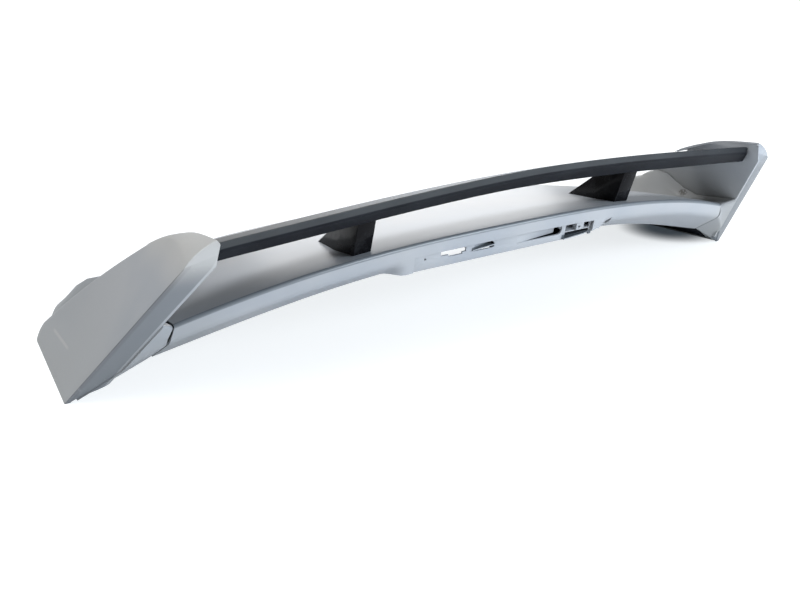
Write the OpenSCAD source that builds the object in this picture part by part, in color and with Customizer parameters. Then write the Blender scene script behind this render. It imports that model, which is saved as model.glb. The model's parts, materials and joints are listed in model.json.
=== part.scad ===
// Hatchback roof spoiler: an arched deck, a raised wing on two pillars and two leaning end plates.
// It stands as it would on a bench, on the lower edges of its end plates, rear edge to -Y.
// Lengths are millimetres. X runs across the car, +Y to the front of the car, +Z up.

/* [Deck] */
// Half width of the deck at its rear top edge, where the end plate joins it
deck_half_w = 501; // [480:1:520]
// Distance of the deck's rear top edge behind the plate tips, on the centre line
deck_rear_y = 122; // [112:1:130]
// How much further forward that edge is at the joint than on the centre line
deck_rear_sweep = 36; // [26:1:42]
// Height of the deck's rear top edge on the centre line
deck_rear_z = 164; // [158:1:170]
// How far the rear top edge has dropped at the joint
deck_drop = 56; // [48:1:60]
// Distance of the front edge ahead of the plate tips, on the centre line
deck_front_y = 226; // [205:1:235]
// How much further forward the front edge is at the joint
deck_front_sweep = 40; // [20:1:44]
// Fall of the deck's top surface towards the front, in degrees
deck_pitch = 8.1; // [6:0.1:9.5]
// Rise of the deck's top above a straight line from rear edge to front edge
deck_crown = 5; // [2:0.5:8]
// Height of the upper rear facet
facet_h = 21; // [18:0.5:24]
// Wall of the deck's top and under mouldings
deck_wall = 3; // [2.5:0.1:3.5]
// Depth of the turned down lip along the front edge
front_lip_h = 16; // [13:0.5:20]

/* [Brake lamp housing] */
// Half length of the deeper box in the rear face
box_half_w = 178; // [174:1:184]
// Height of the rear face along the box
box_h = 40; // [38:0.5:42]
// Half length of the recess for the brake lamp
recess_half_w = 166; // [162:1:168]
// Height of the rear face's upper band, above the recess
band_h = 18; // [16.5:0.5:19]
// Thickness of the lamp panel at the back of the recess
panel_t = 2.5; // [2:0.1:3]
// Diameter of the small hole at the panel's left end
pin_hole_d = 3.4; // [3:0.1:5]
// Height of the window for the lamp's plug
window_h = 7; // [6:0.5:8]
// Height of the hand hole beside it
hand_h = 11; // [9:0.5:12]
// Height of the cable opening
cable_h = 16; // [13:0.5:17]
// Width of the post between the cable opening and the open end
post_w = 7; // [5:0.5:9]

/* [Wing] */
// Distance of the wing's trailing edge behind the plate tips, on the centre line
wing_rear_y = 184; // [178:1:190]
// How much further forward the trailing edge is near the plates
wing_rear_sweep = 30; // [24:1:34]
// Height of the trailing edge on the centre line
wing_rear_z = 260; // [256:1:264]
// How far the trailing edge has dropped near the plates
wing_drop = 35; // [31:1:38]
// Length of the wing from trailing edge to leading edge
wing_chord = 128; // [122:1:134]
// Fall of the leading edge below the trailing edge
wing_nose_drop = 40; // [37:1:42]
// Height of the trailing face on the centre line
wing_tail_h = 39; // [36:0.5:41]
// Wall of the wing's two mouldings
wing_wall = 2.5; // [2:0.1:3]

/* [End plates] */
// Width of a foot: how far the plate's tip line lies outside the joint
foot_w = 119; // [105:1:130]
// Inward lean of a plate, as millimetres per millimetre of height
plate_lean = 0.622; // [0.59:0.005:0.64]
// Toe of a plate, as millimetres of width per millimetre of length
plate_toe = 0.117; // [0.1:0.005:0.13]
// Distance of the plate's rear shoulder behind its tip
shoulder_y = 163; // [155:1:168]
// Height of the rear shoulder
shoulder_z = 205; // [200:1:208]
// Centre of the rounded front corner, ahead of the tip
nose_y = 227; // [223:1:231]
// Radius of the rounded front corner
nose_r = 14; // [12:0.5:17]
// Height of the front end of the crease near the top
crease_z = 194; // [190:1:197]
// Slope of the leading top edge, in degrees
lead_fall = 32.5; // [31.5:0.1:33.5]
// How far the leading edge bows forwards between its ends
lead_bow = 14; // [10:0.5:18]
// Height of the swelling on the foot behind the leading edge
swell_h = 27; // [22:0.5:31]
// Width of the flat trailing face at the shoulder
tail_w = 37; // [34:0.5:40]
// Width of the trailing face at the tip
tip_w = 6.5; // [6:0.1:8]
// Thickness of a plate along its leading edge
lead_w = 16; // [13:0.5:20]
// Wall of the plate mouldings
plate_wall = 2.8; // [2.4:0.1:3]

/* [Joints] */
// Thickness of the black gasket between the deck and an end plate
gasket_t = 2.4; // [1.8:0.1:3]
// Thickness of the end walls that are bolted together there
end_wall_t = 4; // [3:0.5:5]
// Width of the gasket's band round the joint
gasket_band = 8; // [7:0.5:12]
// Clearance between mouldings that lie against each other
seat_gap = 0.3; // [0.25:0.05:0.4]

/* [Pillars] */
// Distance of a pillar's outer side from the centre line
pillar_x = 252; // [240:1:262]
// Width of a pillar's rear face
pillar_w = 27; // [24:0.5:30]
// Distance of a pillar's rear face behind the plate tips, at its foot
pillar_rear_y = 101; // [96:1:104]
// How far a pillar leans back from foot to head
pillar_rake = 18; // [14:1:22]
// Length of a pillar's foot
pillar_foot_l = 121; // [115:1:126]
// Length of a pillar's head
pillar_head_l = 60; // [54:1:66]

/* [Fixings] */
// Distance of the outer tailgate bosses from the centre line, as a share of the deck's half width
boss_outer_share = 0.858; // [0.83:0.002:0.87]
// Distance of the inner tailgate bosses from the centre line
boss_x_inner = 120; // [100:1:135]
// Outer diameter of a tailgate boss
boss_d = 20; // [18:0.5:22]
// Outer diameter of the brass insert in a boss
insert_d = 9; // [8.5:0.1:10]
// Bore of the insert, for an M6 bolt
insert_bore_d = 6; // [5:0.1:6.4]
// Length of the insert
insert_l = 14; // [12:0.5:16]
// Distance of the outer tailgate bosses ahead of the plate tips
boss_y_outer = 70; // [60:1:90]
// Distance of the inner tailgate bosses ahead of the plate tips
boss_y_inner = 110; // [95:1:130]
// Thread diameter of the bolts through the joints
joint_bolt_d = 6; // [5:0.5:8]
// Shank diameter of the pillar screws
screw_d = 5; // [4:0.1:6]
// Head diameter of the pillar screws
screw_head_d = 10; // [9:0.1:11]

/* [Hidden] */

primer = [0.70, 0.72, 0.73];
grained_black = [0.16, 0.17, 0.18];
gloss_black = [0.08, 0.08, 0.09];
rubber_black = [0.05, 0.05, 0.05];
brass = [0.75, 0.62, 0.35];

// Half width over the plate tips at the bottom
plate_half_w = deck_half_w + foot_w;
// Reach of the front lip ahead of the deck's front edge
lip_out = 1;
// The frame: the origin lies midway between the rearmost and the foremost point
frontmost_y = deck_front_y + deck_front_sweep + lip_out;
frame_y = (wing_rear_y - frontmost_y) / 2;

// Exponents of the deck's and the wing's arches, as seen from behind and from above
deck_arch_p = 2.8;
deck_sweep_p = 3.25;
wing_arch_p = 1.76;
wing_sweep_p = 2.5;
// Half width at which the wing's drop and sweep are stated
wing_ref_w = deck_half_w - 26;

// General helpers
function mix(a, b, t) = a + (b - a) * t;
function clamp01(t) = min(1, max(0, t));
function smooth(t) = let (c = clamp01(t)) c * c * (3 - 2 * c);
function unit(v) = v / norm(v);
function bezier(a, b, c, t) = (1 - t) * (1 - t) * a + 2 * t * (1 - t) * b + t * t * c;

// A closed solid between two grids of points with the same rows and columns
module slab(outer, inner) {
    rows = len(outer);
    cols = len(outer[0]);
    n = rows * cols;
    function a(i, j) = i * cols + j;
    function b(i, j) = n + i * cols + j;
    points = concat([for (r = outer) each r], [for (r = inner) each r]);
    faces = concat(
        [for (i = [0 : rows - 2]) for (j = [0 : cols - 2]) each
            [[a(i, j), a(i + 1, j), a(i + 1, j + 1)], [a(i, j), a(i + 1, j + 1), a(i, j + 1)]]],
        [for (i = [0 : rows - 2]) for (j = [0 : cols - 2]) each
            [[b(i, j), b(i + 1, j + 1), b(i + 1, j)], [b(i, j), b(i, j + 1), b(i + 1, j + 1)]]],
        [for (i = [0 : rows - 2]) each
            [[a(i, 0), b(i, 0), b(i + 1, 0)], [a(i, 0), b(i + 1, 0), a(i + 1, 0)]]],
        [for (i = [0 : rows - 2]) each
            [[a(i, cols - 1), b(i + 1, cols - 1), b(i, cols - 1)],
             [a(i, cols - 1), a(i + 1, cols - 1), b(i + 1, cols - 1)]]],
        [for (j = [0 : cols - 2]) each
            [[a(0, j), b(0, j + 1), b(0, j)], [a(0, j), a(0, j + 1), b(0, j + 1)]]],
        [for (j = [0 : cols - 2]) each
            [[a(rows - 1, j), b(rows - 1, j), b(rows - 1, j + 1)],
             [a(rows - 1, j), b(rows - 1, j + 1), a(rows - 1, j + 1)]]]
    );
    polyhedron(points, faces, convexity = 12);
}

// A flat profile of [y, z] points moved sideways by t, with mitred corners
function seg_normal(a, b) = let (d = unit(b - a)) [-d[1], d[0]];
function inset_profile(p, t) = [for (j = [0 : len(p) - 1]) let (
    n0 = seg_normal(p[max(j - 1, 0)], p[max(j, 1)]),
    n1 = seg_normal(p[min(j, len(p) - 2)], p[min(j + 1, len(p) - 1)]),
    m = unit(n0 + n1)
) p[j] + m * t / max(0.6, m * n1)];

// Deck
function deck_a(x) = let (s = abs(x) / deck_half_w) [
    -deck_rear_y + deck_rear_sweep * pow(s, deck_sweep_p),
    deck_rear_z - deck_drop * pow(s, deck_arch_p)
];
function deck_front(x) = deck_front_y + deck_front_sweep * pow(abs(x) / deck_half_w, 2);
function deck_top_z(x, y) = let (
    a = deck_a(x),
    t = clamp01((y - a[0]) / (deck_front(x) - a[0]))
) a[1] - tan(deck_pitch) * (y - a[0]) + 4 * deck_crown * t * (1 - t);
// 0 beside the lamp box, 1 along it
function box_mix(x) = 1 - smooth((abs(x) - box_half_w) / 26);
// Lower facet: 0 where it fades out by the box, 1 at the joint
function facet_reach(x) = mix(0.42, 1, smooth((abs(x) - box_half_w) / (deck_half_w - box_half_w)));
lower_facet = [52, -35];
upper_facet = [6, -facet_h];
function deck_b(x) = deck_a(x) + mix(upper_facet, [4, -box_h * 0.5], box_mix(x));
function deck_c(x) = mix(deck_b(x) + facet_reach(x) * lower_facet, deck_a(x) + [8, -box_h], box_mix(x));
top_steps = [1, 0.8, 0.55, 0.3, 0.12];
function deck_lip(x) = [deck_front(x) + lip_out, deck_top_z(x, deck_front(x)) - front_lip_h];
function deck_profile(x) = concat(
    [deck_lip(x)],
    [for (t = top_steps) let (y = mix(deck_a(x)[0], deck_front(x), t)) [y, deck_top_z(x, y)]],
    [deck_a(x), deck_b(x), deck_c(x)]
);
// The joint runs outwards down the rear facets, so the last points lie further out
seam_out = [0, 0, 0, 0, 0, 0, 0, 6, 13];
function at_x(profile, x, extra = 0) = [for (j = [0 : len(profile) - 1])
    [x + sign(x) * seam_out[j] * pow(clamp01(abs(x) / deck_half_w), 8), profile[j][0], profile[j][1]]];
half_stations = concat(
    [for (f = [0, 0.28, 0.56, 0.79, 0.93]) f * box_half_w],
    [box_half_w + 2, box_half_w + 14, box_half_w + 28],
    [for (f = [0.48, 0.56, 0.64, 0.72, 0.8, 0.87, 0.94]) f * deck_half_w]
);
function both_sides(list) = concat([for (i = [len(list) - 1 : -1 : 1]) -list[i]], list);
deck_end = deck_half_w - gasket_t / 2;
deck_stations = both_sides(concat(half_stations, [deck_end]));

// Recess in the rear face, open below, its upper edge following the deck's arch
module recess_cut() {
    steps = 12;
    reach = 15;
    upper = [for (i = [0 : steps]) let (x = mix(-recess_half_w, recess_half_w, i / steps))
        [x, deck_a(x)[1] - band_h]];
    lower = [[recess_half_w, deck_rear_z - 2 * box_h], [-recess_half_w, deck_rear_z - 2 * box_h]];
    translate([0, reach - deck_rear_y, 0]) rotate([90, 0, 0])
        linear_extrude(height = 2 * reach) polygon(concat(upper, lower));
}

module deck_top_skin() {
    color(primer) difference() {
        slab(
            [for (x = deck_stations) at_x(deck_profile(x), x)],
            [for (x = deck_stations) at_x(inset_profile(deck_profile(x), deck_wall), x)]
        );
        recess_cut();
        in_recess_frame() translate([-panel_half_w - seat_gap, panel_y - seat_gap, -panel_low - 2])
            cube([2 * (panel_half_w + seat_gap), panel_t + 6, panel_low + panel_lap + 2 + seat_gap]);
        for (sx = [-1, 1]) for (y = foot_screw_y)
            translate([sx * pillar_mid_x, y, deck_top_z(pillar_mid_x, y) - 12])
                cylinder(d = screw_d + 2 * screw_play, h = 20, $fn = 24);
    }
}

// The tray closes the deck from below, inside the lip and the lower facet
tray_inset = deck_wall + seat_gap;
function tray_profile(x) = let (
    w = box_mix(x),
    inner = inset_profile(deck_profile(x), tray_inset),
    back = inner[len(inner) - 1] + [0, 1] + w * [panel_t + 2 * seat_gap, 0.5],
    front = inner[0] + [-1.2, 1.5],
    top = function (y) deck_top_z(x, y),
    depth0 = top(back[0]) - back[1],
    depth1 = top(front[0]) - front[1]
) concat(
    [back],
    [for (i = [1 : 6]) let (
        t = pow(i / 7, 1.2),
        y = mix(back[0], front[0], t),
        plain = mix(depth0, depth1, smooth(t * 1.3)),
        hump = w * depth0 * 0.35 * (1 - smooth((t - 0.28) / 0.16)),
        cut = mix(plain, mix(22, depth1, t), w * smooth((t - 0.28) / 0.16))
    ) [y, top(y) - (w > 0 ? (t < 0.28 ? depth0 : cut) : plain)]],
    [front]
);
tray_wall = 2.5;
tray_steps = 7;
// The tray's rear corner reaches out under the slanting joint
tray_out = [12, 4, 0, 0, 0, 0, 0, 0];
function tray_z(x, y) = lookup(y, tray_profile(x));
function tray_row(x, profile) = [for (k = [0 : tray_steps])
    [x + (abs(x) == deck_end ? sign(x) * tray_out[k] : 0), profile[k][0], profile[k][1]]];
boss_x_outer = boss_outer_share * deck_half_w;
boss_spots = [for (side = [-1, 1])
    each [[side * boss_x_outer, boss_y_outer], [side * boss_x_inner, boss_y_inner]]];
boss_stand = 7;
boss_roof = 4;
boss_h = insert_l + boss_roof;
function boss_foot(q) = tray_z(q[0], q[1]) - boss_stand;
end_wall_back = -20;
end_wall_ahead = 80;
foot_wall_back = 20;
// Wall that closes the end of a tray, and through which the joint is bolted
module end_wall(x0, x1, y0, y1, foot_side = false) {
    steps = 6;
    ys = [for (k = [0 : steps]) mix(y0, y1, k / steps)];
    function top(x) = [for (y = ys) [x, y, deck_top_z(deck_half_w, y) - tray_inset - (foot_side ? 2.4 : 0)]];
    function low(x) = [for (y = ys) [x, y, tray_z(deck_half_w, y) + 1]];
    slab([low(x0), low(x1)], [top(x0), top(x1)]);
}
joint_y = [30, 130];
function joint_z(y) = mix(tray_z(deck_half_w, y), deck_top_z(deck_half_w, y), 0.5);
module joint_holes() {
    for (y = joint_y)
        translate([deck_half_w - 20, y, joint_z(y)]) rotate([0, 90, 0])
            cylinder(d = joint_bolt_d + 0.6, h = 40, $fn = 24);
}
// Opening in the tray for the lamp's plug and cable, seen through the window from behind
service_x = [-124, -12];
service_y = [-103, -26];
service_z = 90;
module deck_under_tray() {
    color(grained_black) difference() {
        union() {
            slab(
                [for (x = deck_stations) tray_row(x, tray_profile(x))],
                [for (x = deck_stations) tray_row(x, inset_profile(tray_profile(x), tray_wall))]
            );
            for (q = boss_spots)
                translate([q[0], q[1], boss_foot(q)]) cylinder(d = boss_d, h = boss_h, $fn = 24);
            for (side = [0, 1]) mirror([side, 0, 0])
                end_wall(deck_end - end_wall_t, deck_end, end_wall_back, joint_y[1] + end_wall_ahead);
        }
        for (q = boss_spots)
            translate([q[0], q[1], boss_foot(q) - 1])
                cylinder(d = insert_d + 0.2, h = insert_l + 1, $fn = 24);
        for (side = [0, 1]) mirror([side, 0, 0]) joint_holes();
        translate([service_x[0], service_y[0], service_z])
            cube([service_x[1] - service_x[0], service_y[1] - service_y[0], deck_rear_z - service_z]);
    }
}

// Lamp panel, in its own frame: x across, y forwards into the deck, z up the rear face from the band
recess_tilt = atan(8 / box_h);
panel_y = deck_wall + seat_gap;
panel_low = box_h - band_h;
panel_lap = 4;
panel_half_w = recess_half_w + 3;
pin_hole = [-144, -11];
window_x = [-118, -74];
window_z = -11.5;
notch_x = [-104, -80];
notch_h = 3;
hand_x = [-60, -23];
hand_z = -15;
cable_x = [20, 107];
tower_x = [134, 149];
tower_z = -15;
// Shelf in the panel's open end
shelf_z = -16.5;
shelf_l = 15;
shelf_t = 1.6;
module in_recess_frame() {
    translate([0, -deck_rear_y + 8 * band_h / box_h, deck_rear_z - band_h])
        rotate([recess_tilt, 0, 0]) children();
}
module through_panel(x0, z0, w, h) {
    translate([x0, panel_y - 1, z0]) cube([w, panel_t + 2, h]);
}
// Opening with a square upper edge and a round right hand end
module round_slot(x, z0, h) {
    through_panel(x[0], z0, x[1] - x[0] - h / 2, h);
    translate([x[1] - h / 2, panel_y + panel_t + 1, z0 + h / 2]) rotate([90, 0, 0])
        cylinder(d = h, h = panel_t + 2, $fn = 36);
}
// Guide that slopes inwards behind an opening
module ramp(x0, x1, depth, z0, h) {
    translate([0, 0, z0]) linear_extrude(height = h)
        polygon([
            [x0 - 4, panel_y], [x1, panel_y + depth],
            [x1 - 2, panel_y + depth + 2], [x0 - 6, panel_y + 2]
        ]);
}
module lamp_panel() {
    color(primer) in_recess_frame() difference() {
        union() {
            difference() {
                translate([-panel_half_w, panel_y, -panel_low])
                    cube([2 * panel_half_w, panel_t, panel_low + panel_lap]);
                through_panel(window_x[0], window_z, window_x[1] - window_x[0], window_h);
                through_panel(notch_x[0], window_z - notch_h, notch_x[1] - notch_x[0], notch_h + 1);
                round_slot(hand_x, hand_z, hand_h);
                round_slot(cable_x, -1.5 - cable_h, cable_h);
                through_panel(
                    cable_x[1] + post_w, -panel_low - 1,
                    recess_half_w - 3 - cable_x[1] - post_w, panel_low
                );
                translate([pin_hole[0], panel_y + panel_t + 1, pin_hole[1]]) rotate([90, 0, 0])
                    cylinder(d = pin_hole_d, h = panel_t + 2, $fn = 24);
            }
            ramp(hand_x[0], hand_x[1] + 3, 12, hand_z, hand_h);
            ramp(cable_x[0], cable_x[1] - 8, 9, -1.5 - cable_h, cable_h);
            translate([cable_x[1] + post_w - 1, panel_y, shelf_z])
                cube([recess_half_w - cable_x[1] - post_w, shelf_l, shelf_t]);
            translate([cable_x[1] + post_w - 1, panel_y + shelf_l - shelf_t, shelf_z])
                cube([recess_half_w - cable_x[1] - post_w, shelf_t, panel_lap - shelf_z]);
            translate([tower_x[0], 1, tower_z]) cube([tower_x[1] - tower_x[0], panel_y + 4, -2.5 - tower_z]);
            translate([tower_x[0], panel_y, tower_z])
                cube([tower_x[1] - tower_x[0], 5, panel_lap - tower_z]);
        }
        translate([mix(tower_x[0], tower_x[1], 0.4), panel_y + 6, tower_z + 5]) rotate([90, 0, 0])
            cylinder(d = 4.2, h = 20, $fn = 24);
    }
}

// Gasket round each joint, the same section as the deck's end
module seam_gasket(side) {
    function loop_at(x) = at_x(deck_profile(deck_end), x);
    function inner_at(x) = at_x(inset_profile(deck_profile(deck_end), gasket_band), x);
    x0 = deck_end + seat_gap / 2;
    x1 = deck_end + gasket_t - 3 * seat_gap;
    color(rubber_black) mirror([side < 0 ? 1 : 0, 0, 0])
        slab([loop_at(x0), loop_at(x1)], [inner_at(x0), inner_at(x1)]);
}

// End plates, worked out for the right hand side
function plate_x(y, z) = plate_half_w - plate_toe * y - plate_lean * z;
function on_plate(q) = [plate_x(q[0], q[1]), q[0], q[1]];
lead_dir = [-cos(lead_fall), sin(lead_fall)];
lead_normal_a = 90 - lead_fall;
lead_start = [nose_y, nose_r] + nose_r * [cos(lead_normal_a), sin(lead_normal_a)];
lead_len = (crease_z - lead_start[1]) / lead_dir[1];
function bow(t) = 4 * lead_bow * t * (1 - t);
function lead_normal(t) = atan2(
    lead_len * cos(lead_fall) - 4 * lead_bow * (1 - 2 * t),
    lead_len * sin(lead_fall)
);
function lead_share(z) = clamp01((z - lead_start[1]) / (crease_z - lead_start[1]));
nose_steps = 5;
lead_steps = 6;
// Outline of the leading edge from the floor to the crease, as [y, z, angle of the outward normal]
lead_edge = concat(
    [for (i = [0 : nose_steps]) let (a = mix(-90, lead_normal_a, i / nose_steps))
        [nose_y + nose_r * cos(a), nose_r + nose_r * sin(a), a]],
    [for (i = [1 : lead_steps]) let (t = i / lead_steps, q = lead_start + lead_dir * lead_len * t)
        [q[0] + bow(t), q[1], lead_normal(t)]]
);
plate_rows = len(lead_edge);
row_v = [for (q = lead_edge) q[1] / crease_z];
function tail_width(v) = tip_w + (tail_w - tip_w) * pow(v, 0.8);
function tail_point(v) = on_plate([-shoulder_y * v, shoulder_z * v]);
function rim_point(v) = tail_point(v) + [-tail_width(v), -0.3 * (tail_width(v) - tip_w), 0];
crest_z = 14;
face_u = [0, 0.12, 0.3, 0.5, 0.7, 0.87, 1];
// Bulge of the upper rows, highest a third of the way from the tail
function crest(u) = sin(180 * pow(u, 0.62));
function face_point(i, u) = let (
    v = row_v[i],
    t = tail_point(v),
    l = on_plate([lead_edge[i][0], lead_edge[i][1]]),
    q = mix(t, l, u)
) q + [-plate_lean, 0, 1] * crest_z * pow(v, 5) * crest(u);
// Rows that curl over the top, from the crease to the top line
curl_t = [0.35, 0.7, 1];
function curl_tail(t) = let (a = tail_point(1)) bezier(a, a + [-12, -4, 20], a + [-40, -8, 31], t);
function curl_lead(t) = let (l = on_plate([lead_edge[plate_rows - 1][0], crease_z]))
    bezier(l, l + [-8, 4, 12], l + [-34, 8, 12], t);
function curl_point(t, u) = mix(curl_tail(t), curl_lead(t), u)
    + [-plate_lean * (1 - t), 0, 1] * mix(crest_z, 6, t) * crest(u);
function curl_rim(t) = rim_point(1) + [mix(0, -6, t), mix(0, -2, t), mix(0, 25, t)];
outer_grid = concat(
    [for (i = [0 : plate_rows - 1]) concat(
        [rim_point(row_v[i])],
        [for (u = face_u) face_point(i, u)],
        [face_point(i, 1) + [-lead_w * mix(0.4, 1, clamp01(row_v[i] * 4)), 0, 0]])],
    [for (t = curl_t) concat(
        [curl_rim(t)],
        [for (u = face_u) curl_point(t, u)],
        [curl_point(t, 1) + [-lead_w * 0.4, 0, -2]])]
);
cols = len(face_u) + 2;
// Inward steps of the wall for the rim, the face and the leading return
function wall_step(i, j) = let (
    a = i < plate_rows ? lead_edge[i][2] : lead_normal_a,
    curl = i < plate_rows ? 0 : 75 * curl_t[i - plate_rows],
    ahead = max(cos(a), 0.35),
    k = (i == 0) ? 0 : 1
) plate_wall * (
    j == 0 ? [0, 1, -k * 0.3 * sin(curl)] :
    j == 1 ? [-cos(curl), 1, -k * sin(curl)] :
    j < cols - 2 ? [-cos(curl), 0, -k * sin(curl)] :
    j == cols - 2 ? [-cos(curl), -ahead, -k * sin(max(a, 0))] :
    [0, -ahead, -k * sin(max(a, 0))]);
module plate_outer_skin(side) {
    inner = [for (i = [0 : len(outer_grid) - 1])
        [for (j = [0 : cols - 1]) outer_grid[i][j] + wall_step(i, j)]];
    color(primer) mirror([side < 0 ? 1 : 0, 0, 0]) slab(outer_grid, inner);
}

// Inner face of a plate: thick at the tail, thinner at the leading edge
function plate_t(u, v) = mix(tail_width(v), lead_w, pow(u, 0.8));
inner_share = [0, 0.15, 0.35, 0.55, 0.75, 1];
lead_clear = 11.5;
// The inner moulding stops short of the outer one's return along the leading edge
function inner_u(i) = let (chord = lead_edge[i][0] + shoulder_y * row_v[i])
    [for (f = inner_share) f * (1 - lead_clear / chord)];
inner_i = [1 : plate_rows - 1];
function tail_back(v) = 0.3 * (tail_width(v) - tip_w);
function inner_point(i, u) = let (v = row_v[i], k = u == 0 ? 1 : 0)
    face_point(i, u) + [-plate_t(u, v), -k * tail_back(v) + k * (plate_wall + 4 * seat_gap), 0];
function inner_top(u, t) = mix(inner_point(plate_rows - 1, u),
    curl_point(1, u) + [-plate_wall - 9 * seat_gap, u == 0 ? 3 : 0, -1], t) + [-3 * t * (1 - t), 0, 0];
module plate_inner_skin(side) {
    outer = concat(
        [for (i = inner_i) [for (u = inner_u(i)) inner_point(i, u)]],
        [for (t = [0.4, 0.75, 1]) [for (u = inner_u(plate_rows - 1)) inner_top(u, t)]]);
    wall = [for (r = outer) [for (q = r) q + [plate_wall, 0, 0]]];
    color(primer) mirror([side < 0 ? 1 : 0, 0, 0]) difference() {
        slab(wall, outer);
        translate([end_block_x - 10, end_screw_y, end_screw_z]) rotate([0, 90, 0])
            cylinder(d = screw_d + 2 * screw_play, h = 24, $fn = 24);
    }
}

// Foot: the deck's section carried on from the joint to the plate
foot_start = deck_half_w + gasket_t / 2;
foot_gap = 4 * seat_gap;
foot_row = at_x(deck_profile(foot_start), foot_start);
function lead_y_at(z) = lead_start[0] + (z - lead_start[1]) * lead_dir[0] / lead_dir[1] + bow(lead_share(z));
function chord_z_at(y) = lead_start[1] + (y - lead_start[0]) * lead_dir[1] / lead_dir[0];
function lead_z_at(y) = chord_z_at(y - bow(lead_share(chord_z_at(y))));
function inner_face_x(y, z) = let (
    v = z / shoulder_z,
    tail_y = -shoulder_y * v,
    u = clamp01((y - tail_y) / (lead_y_at(max(z, 30)) - tail_y))
) plate_x(y, z) - plate_t(u, clamp01(v));
// Heights on the trailing rim where the foot's rear edge and crease end
foot_a_v = 0.58;
foot_b_v = 0.255;
foot_c_v = 0.03;
function rim_seat(v) = rim_point(v) + [-foot_gap, plate_wall * 0.3, 0];
foot_a = rim_seat(foot_a_v);
function foot_top_end(y) = let (
    flat = foot_a[2] - tan(deck_pitch) * (y - foot_a[1]),
    z = mix(flat, lead_z_at(y) - 0.5, smooth((y + 10) / 90))
) [inner_face_x(y, z) - foot_gap, y, z];
foot_front_y = nose_y + 21;
foot_end = concat(
    [foot_top_end(foot_front_y) + [0, 0, -0.6 * front_lip_h]],
    [for (t = top_steps) foot_top_end(mix(foot_a[1], foot_front_y, t))],
    [foot_a, rim_seat(foot_b_v), rim_seat(foot_c_v)]
);
foot_t = [0, 0.3, 0.55, 0.74, 0.88, 1];
fillet_h = 12;
swell_y = [75, 165];
swell_len = 85;
swell_front = 0.6;
// The foot swells just inside the leading edge, and stands above the plate's outline there.
// Across the foot the swelling peaks at four fifths of the way to the plate.
function swell_across(t) = pow(t / 0.8, 4) * (1 - t) / 0.2;
function swell_along(y) = smooth((y - swell_y[0]) / swell_len)
    * mix(1, swell_front, smooth((y - swell_y[1]) / swell_len));
function swell(y, t) = swell_h * swell_along(y) * swell_across(t);
function foot_point(j, t, lift) = mix(foot_row[j], foot_end[j], t)
    + [0, 0, (j > 0 && j < len(foot_end) - 3) ? -fillet_h * (t - pow(t, 4)) * lift : 0]
    + [0, 0, j < len(foot_end) - 3 ? swell(foot_end[j][1], t) : 0];
function drop_step(j) = deck_wall * (
    j == 0 ? [0, -1, 0] :
    j == 1 ? [0, -1, -1] :
    j < len(foot_end) - 3 ? [0, 0, -1] :
    j == len(foot_end) - 3 ? [0, 0.75, -0.9] : [0, 1, 0.35]);
module foot(side) {
    top = [for (t = foot_t) [for (j = [0 : len(foot_end) - 1]) foot_point(j, t, 1)]];
    under = [for (t = foot_t) [for (j = [0 : len(foot_end) - 1]) foot_point(j, t, 1) + drop_step(j)]];
    color(primer) mirror([side < 0 ? 1 : 0, 0, 0]) slab(top, under);
}

// Tray under the foot, from the deck's tray to the lower edge of the plate
tray_end_z = plate_wall + 3;
function foot_tray_end(k) = let (y = mix(14, nose_y - 2, k / tray_steps))
    [inner_face_x(y, tray_end_z + tray_wall + 6) - foot_gap, y, tray_end_z];
foot_tray_row = let (p = tray_profile(foot_start)) [for (k = [0 : tray_steps])
    [foot_start + tray_out[k], p[k][0] - (k == tray_steps ? 3 : 0), p[k][1]]];
module foot_tray(side) {
    low = [for (t = [0, 0.5, 1]) [for (k = [0 : tray_steps])
        let (shift = k == 0 ? 12 * (1 - t) : 0) mix(foot_tray_row[k], foot_tray_end(k), t) + [0, shift, 2]]];
    color(grained_black) mirror([side < 0 ? 1 : 0, 0, 0]) difference() {
        union() {
            slab(low, [for (r = low) [for (q = r) q + [0, 0, tray_wall]]]);
            end_wall(foot_start, foot_start + end_wall_t, foot_wall_back, joint_y[1] + end_wall_ahead, true);
        }
        joint_holes();
    }
}

// Wing
function wing_u(x) = let (s = abs(x) / wing_ref_w) [
    -wing_rear_y + wing_rear_sweep * pow(s, wing_sweep_p),
    wing_rear_z - wing_drop * pow(s, wing_arch_p)
];
function wing_low(x) = let (k = pow(abs(x) / wing_ref_w, 1.5)) wing_u(x)
    + [mix(48, 12, k), mix(-wing_tail_h, -27, k)];
nose_t = 8;
function wing_nose(x) = wing_u(x) + [wing_chord, -wing_nose_drop];
wing_wrap = 0.06;
top_d = [wing_wrap, 0.2, 0.45, 0.7, 0.9, 1];
function wing_top_profile(x) = [for (t = top_d)
    wing_u(x) + [wing_chord * t, -wing_nose_drop * mix(t, t * t, 0.1)]];
function wing_under_profile(x) = concat(
    [for (q = [[-0.2, -wing_wall - seat_gap], [-1, -0.7 * nose_t], [-8, -nose_t]]) wing_nose(x) + q],
    [for (t = [0.66, 0.33]) mix(wing_low(x) + [8, 0.5], wing_nose(x) + [-8, -nose_t], t)],
    [wing_low(x), mix(wing_low(x), wing_u(x), 0.64) + [-3, -1], wing_u(x),
     wing_u(x) + [wing_chord * wing_wrap - seat_gap, -wing_nose_drop * wing_wrap * 0.9]]
);
wing_half = [for (f = [0, 0.13, 0.26, 0.38, 0.51, 0.63, 0.74, 0.84, 0.91]) f * wing_ref_w];
wing_last_x = wing_ref_w - 20;
function wing_end_x(q) = let (
    v = min(q[1] / shoulder_z, 1),
    tail_y = -shoulder_y * v,
    u = clamp01((q[0] - tail_y) / (lead_y_at(min(q[1], crease_z)) - tail_y))
) plate_x(q[0], min(q[1], shoulder_z)) - plate_t(u, v) - plate_lean * crest_z * pow(v, 5) * crest(u)
    - 0.35 * max(0, q[1] - shoulder_z) - 5 * seat_gap;
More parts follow.
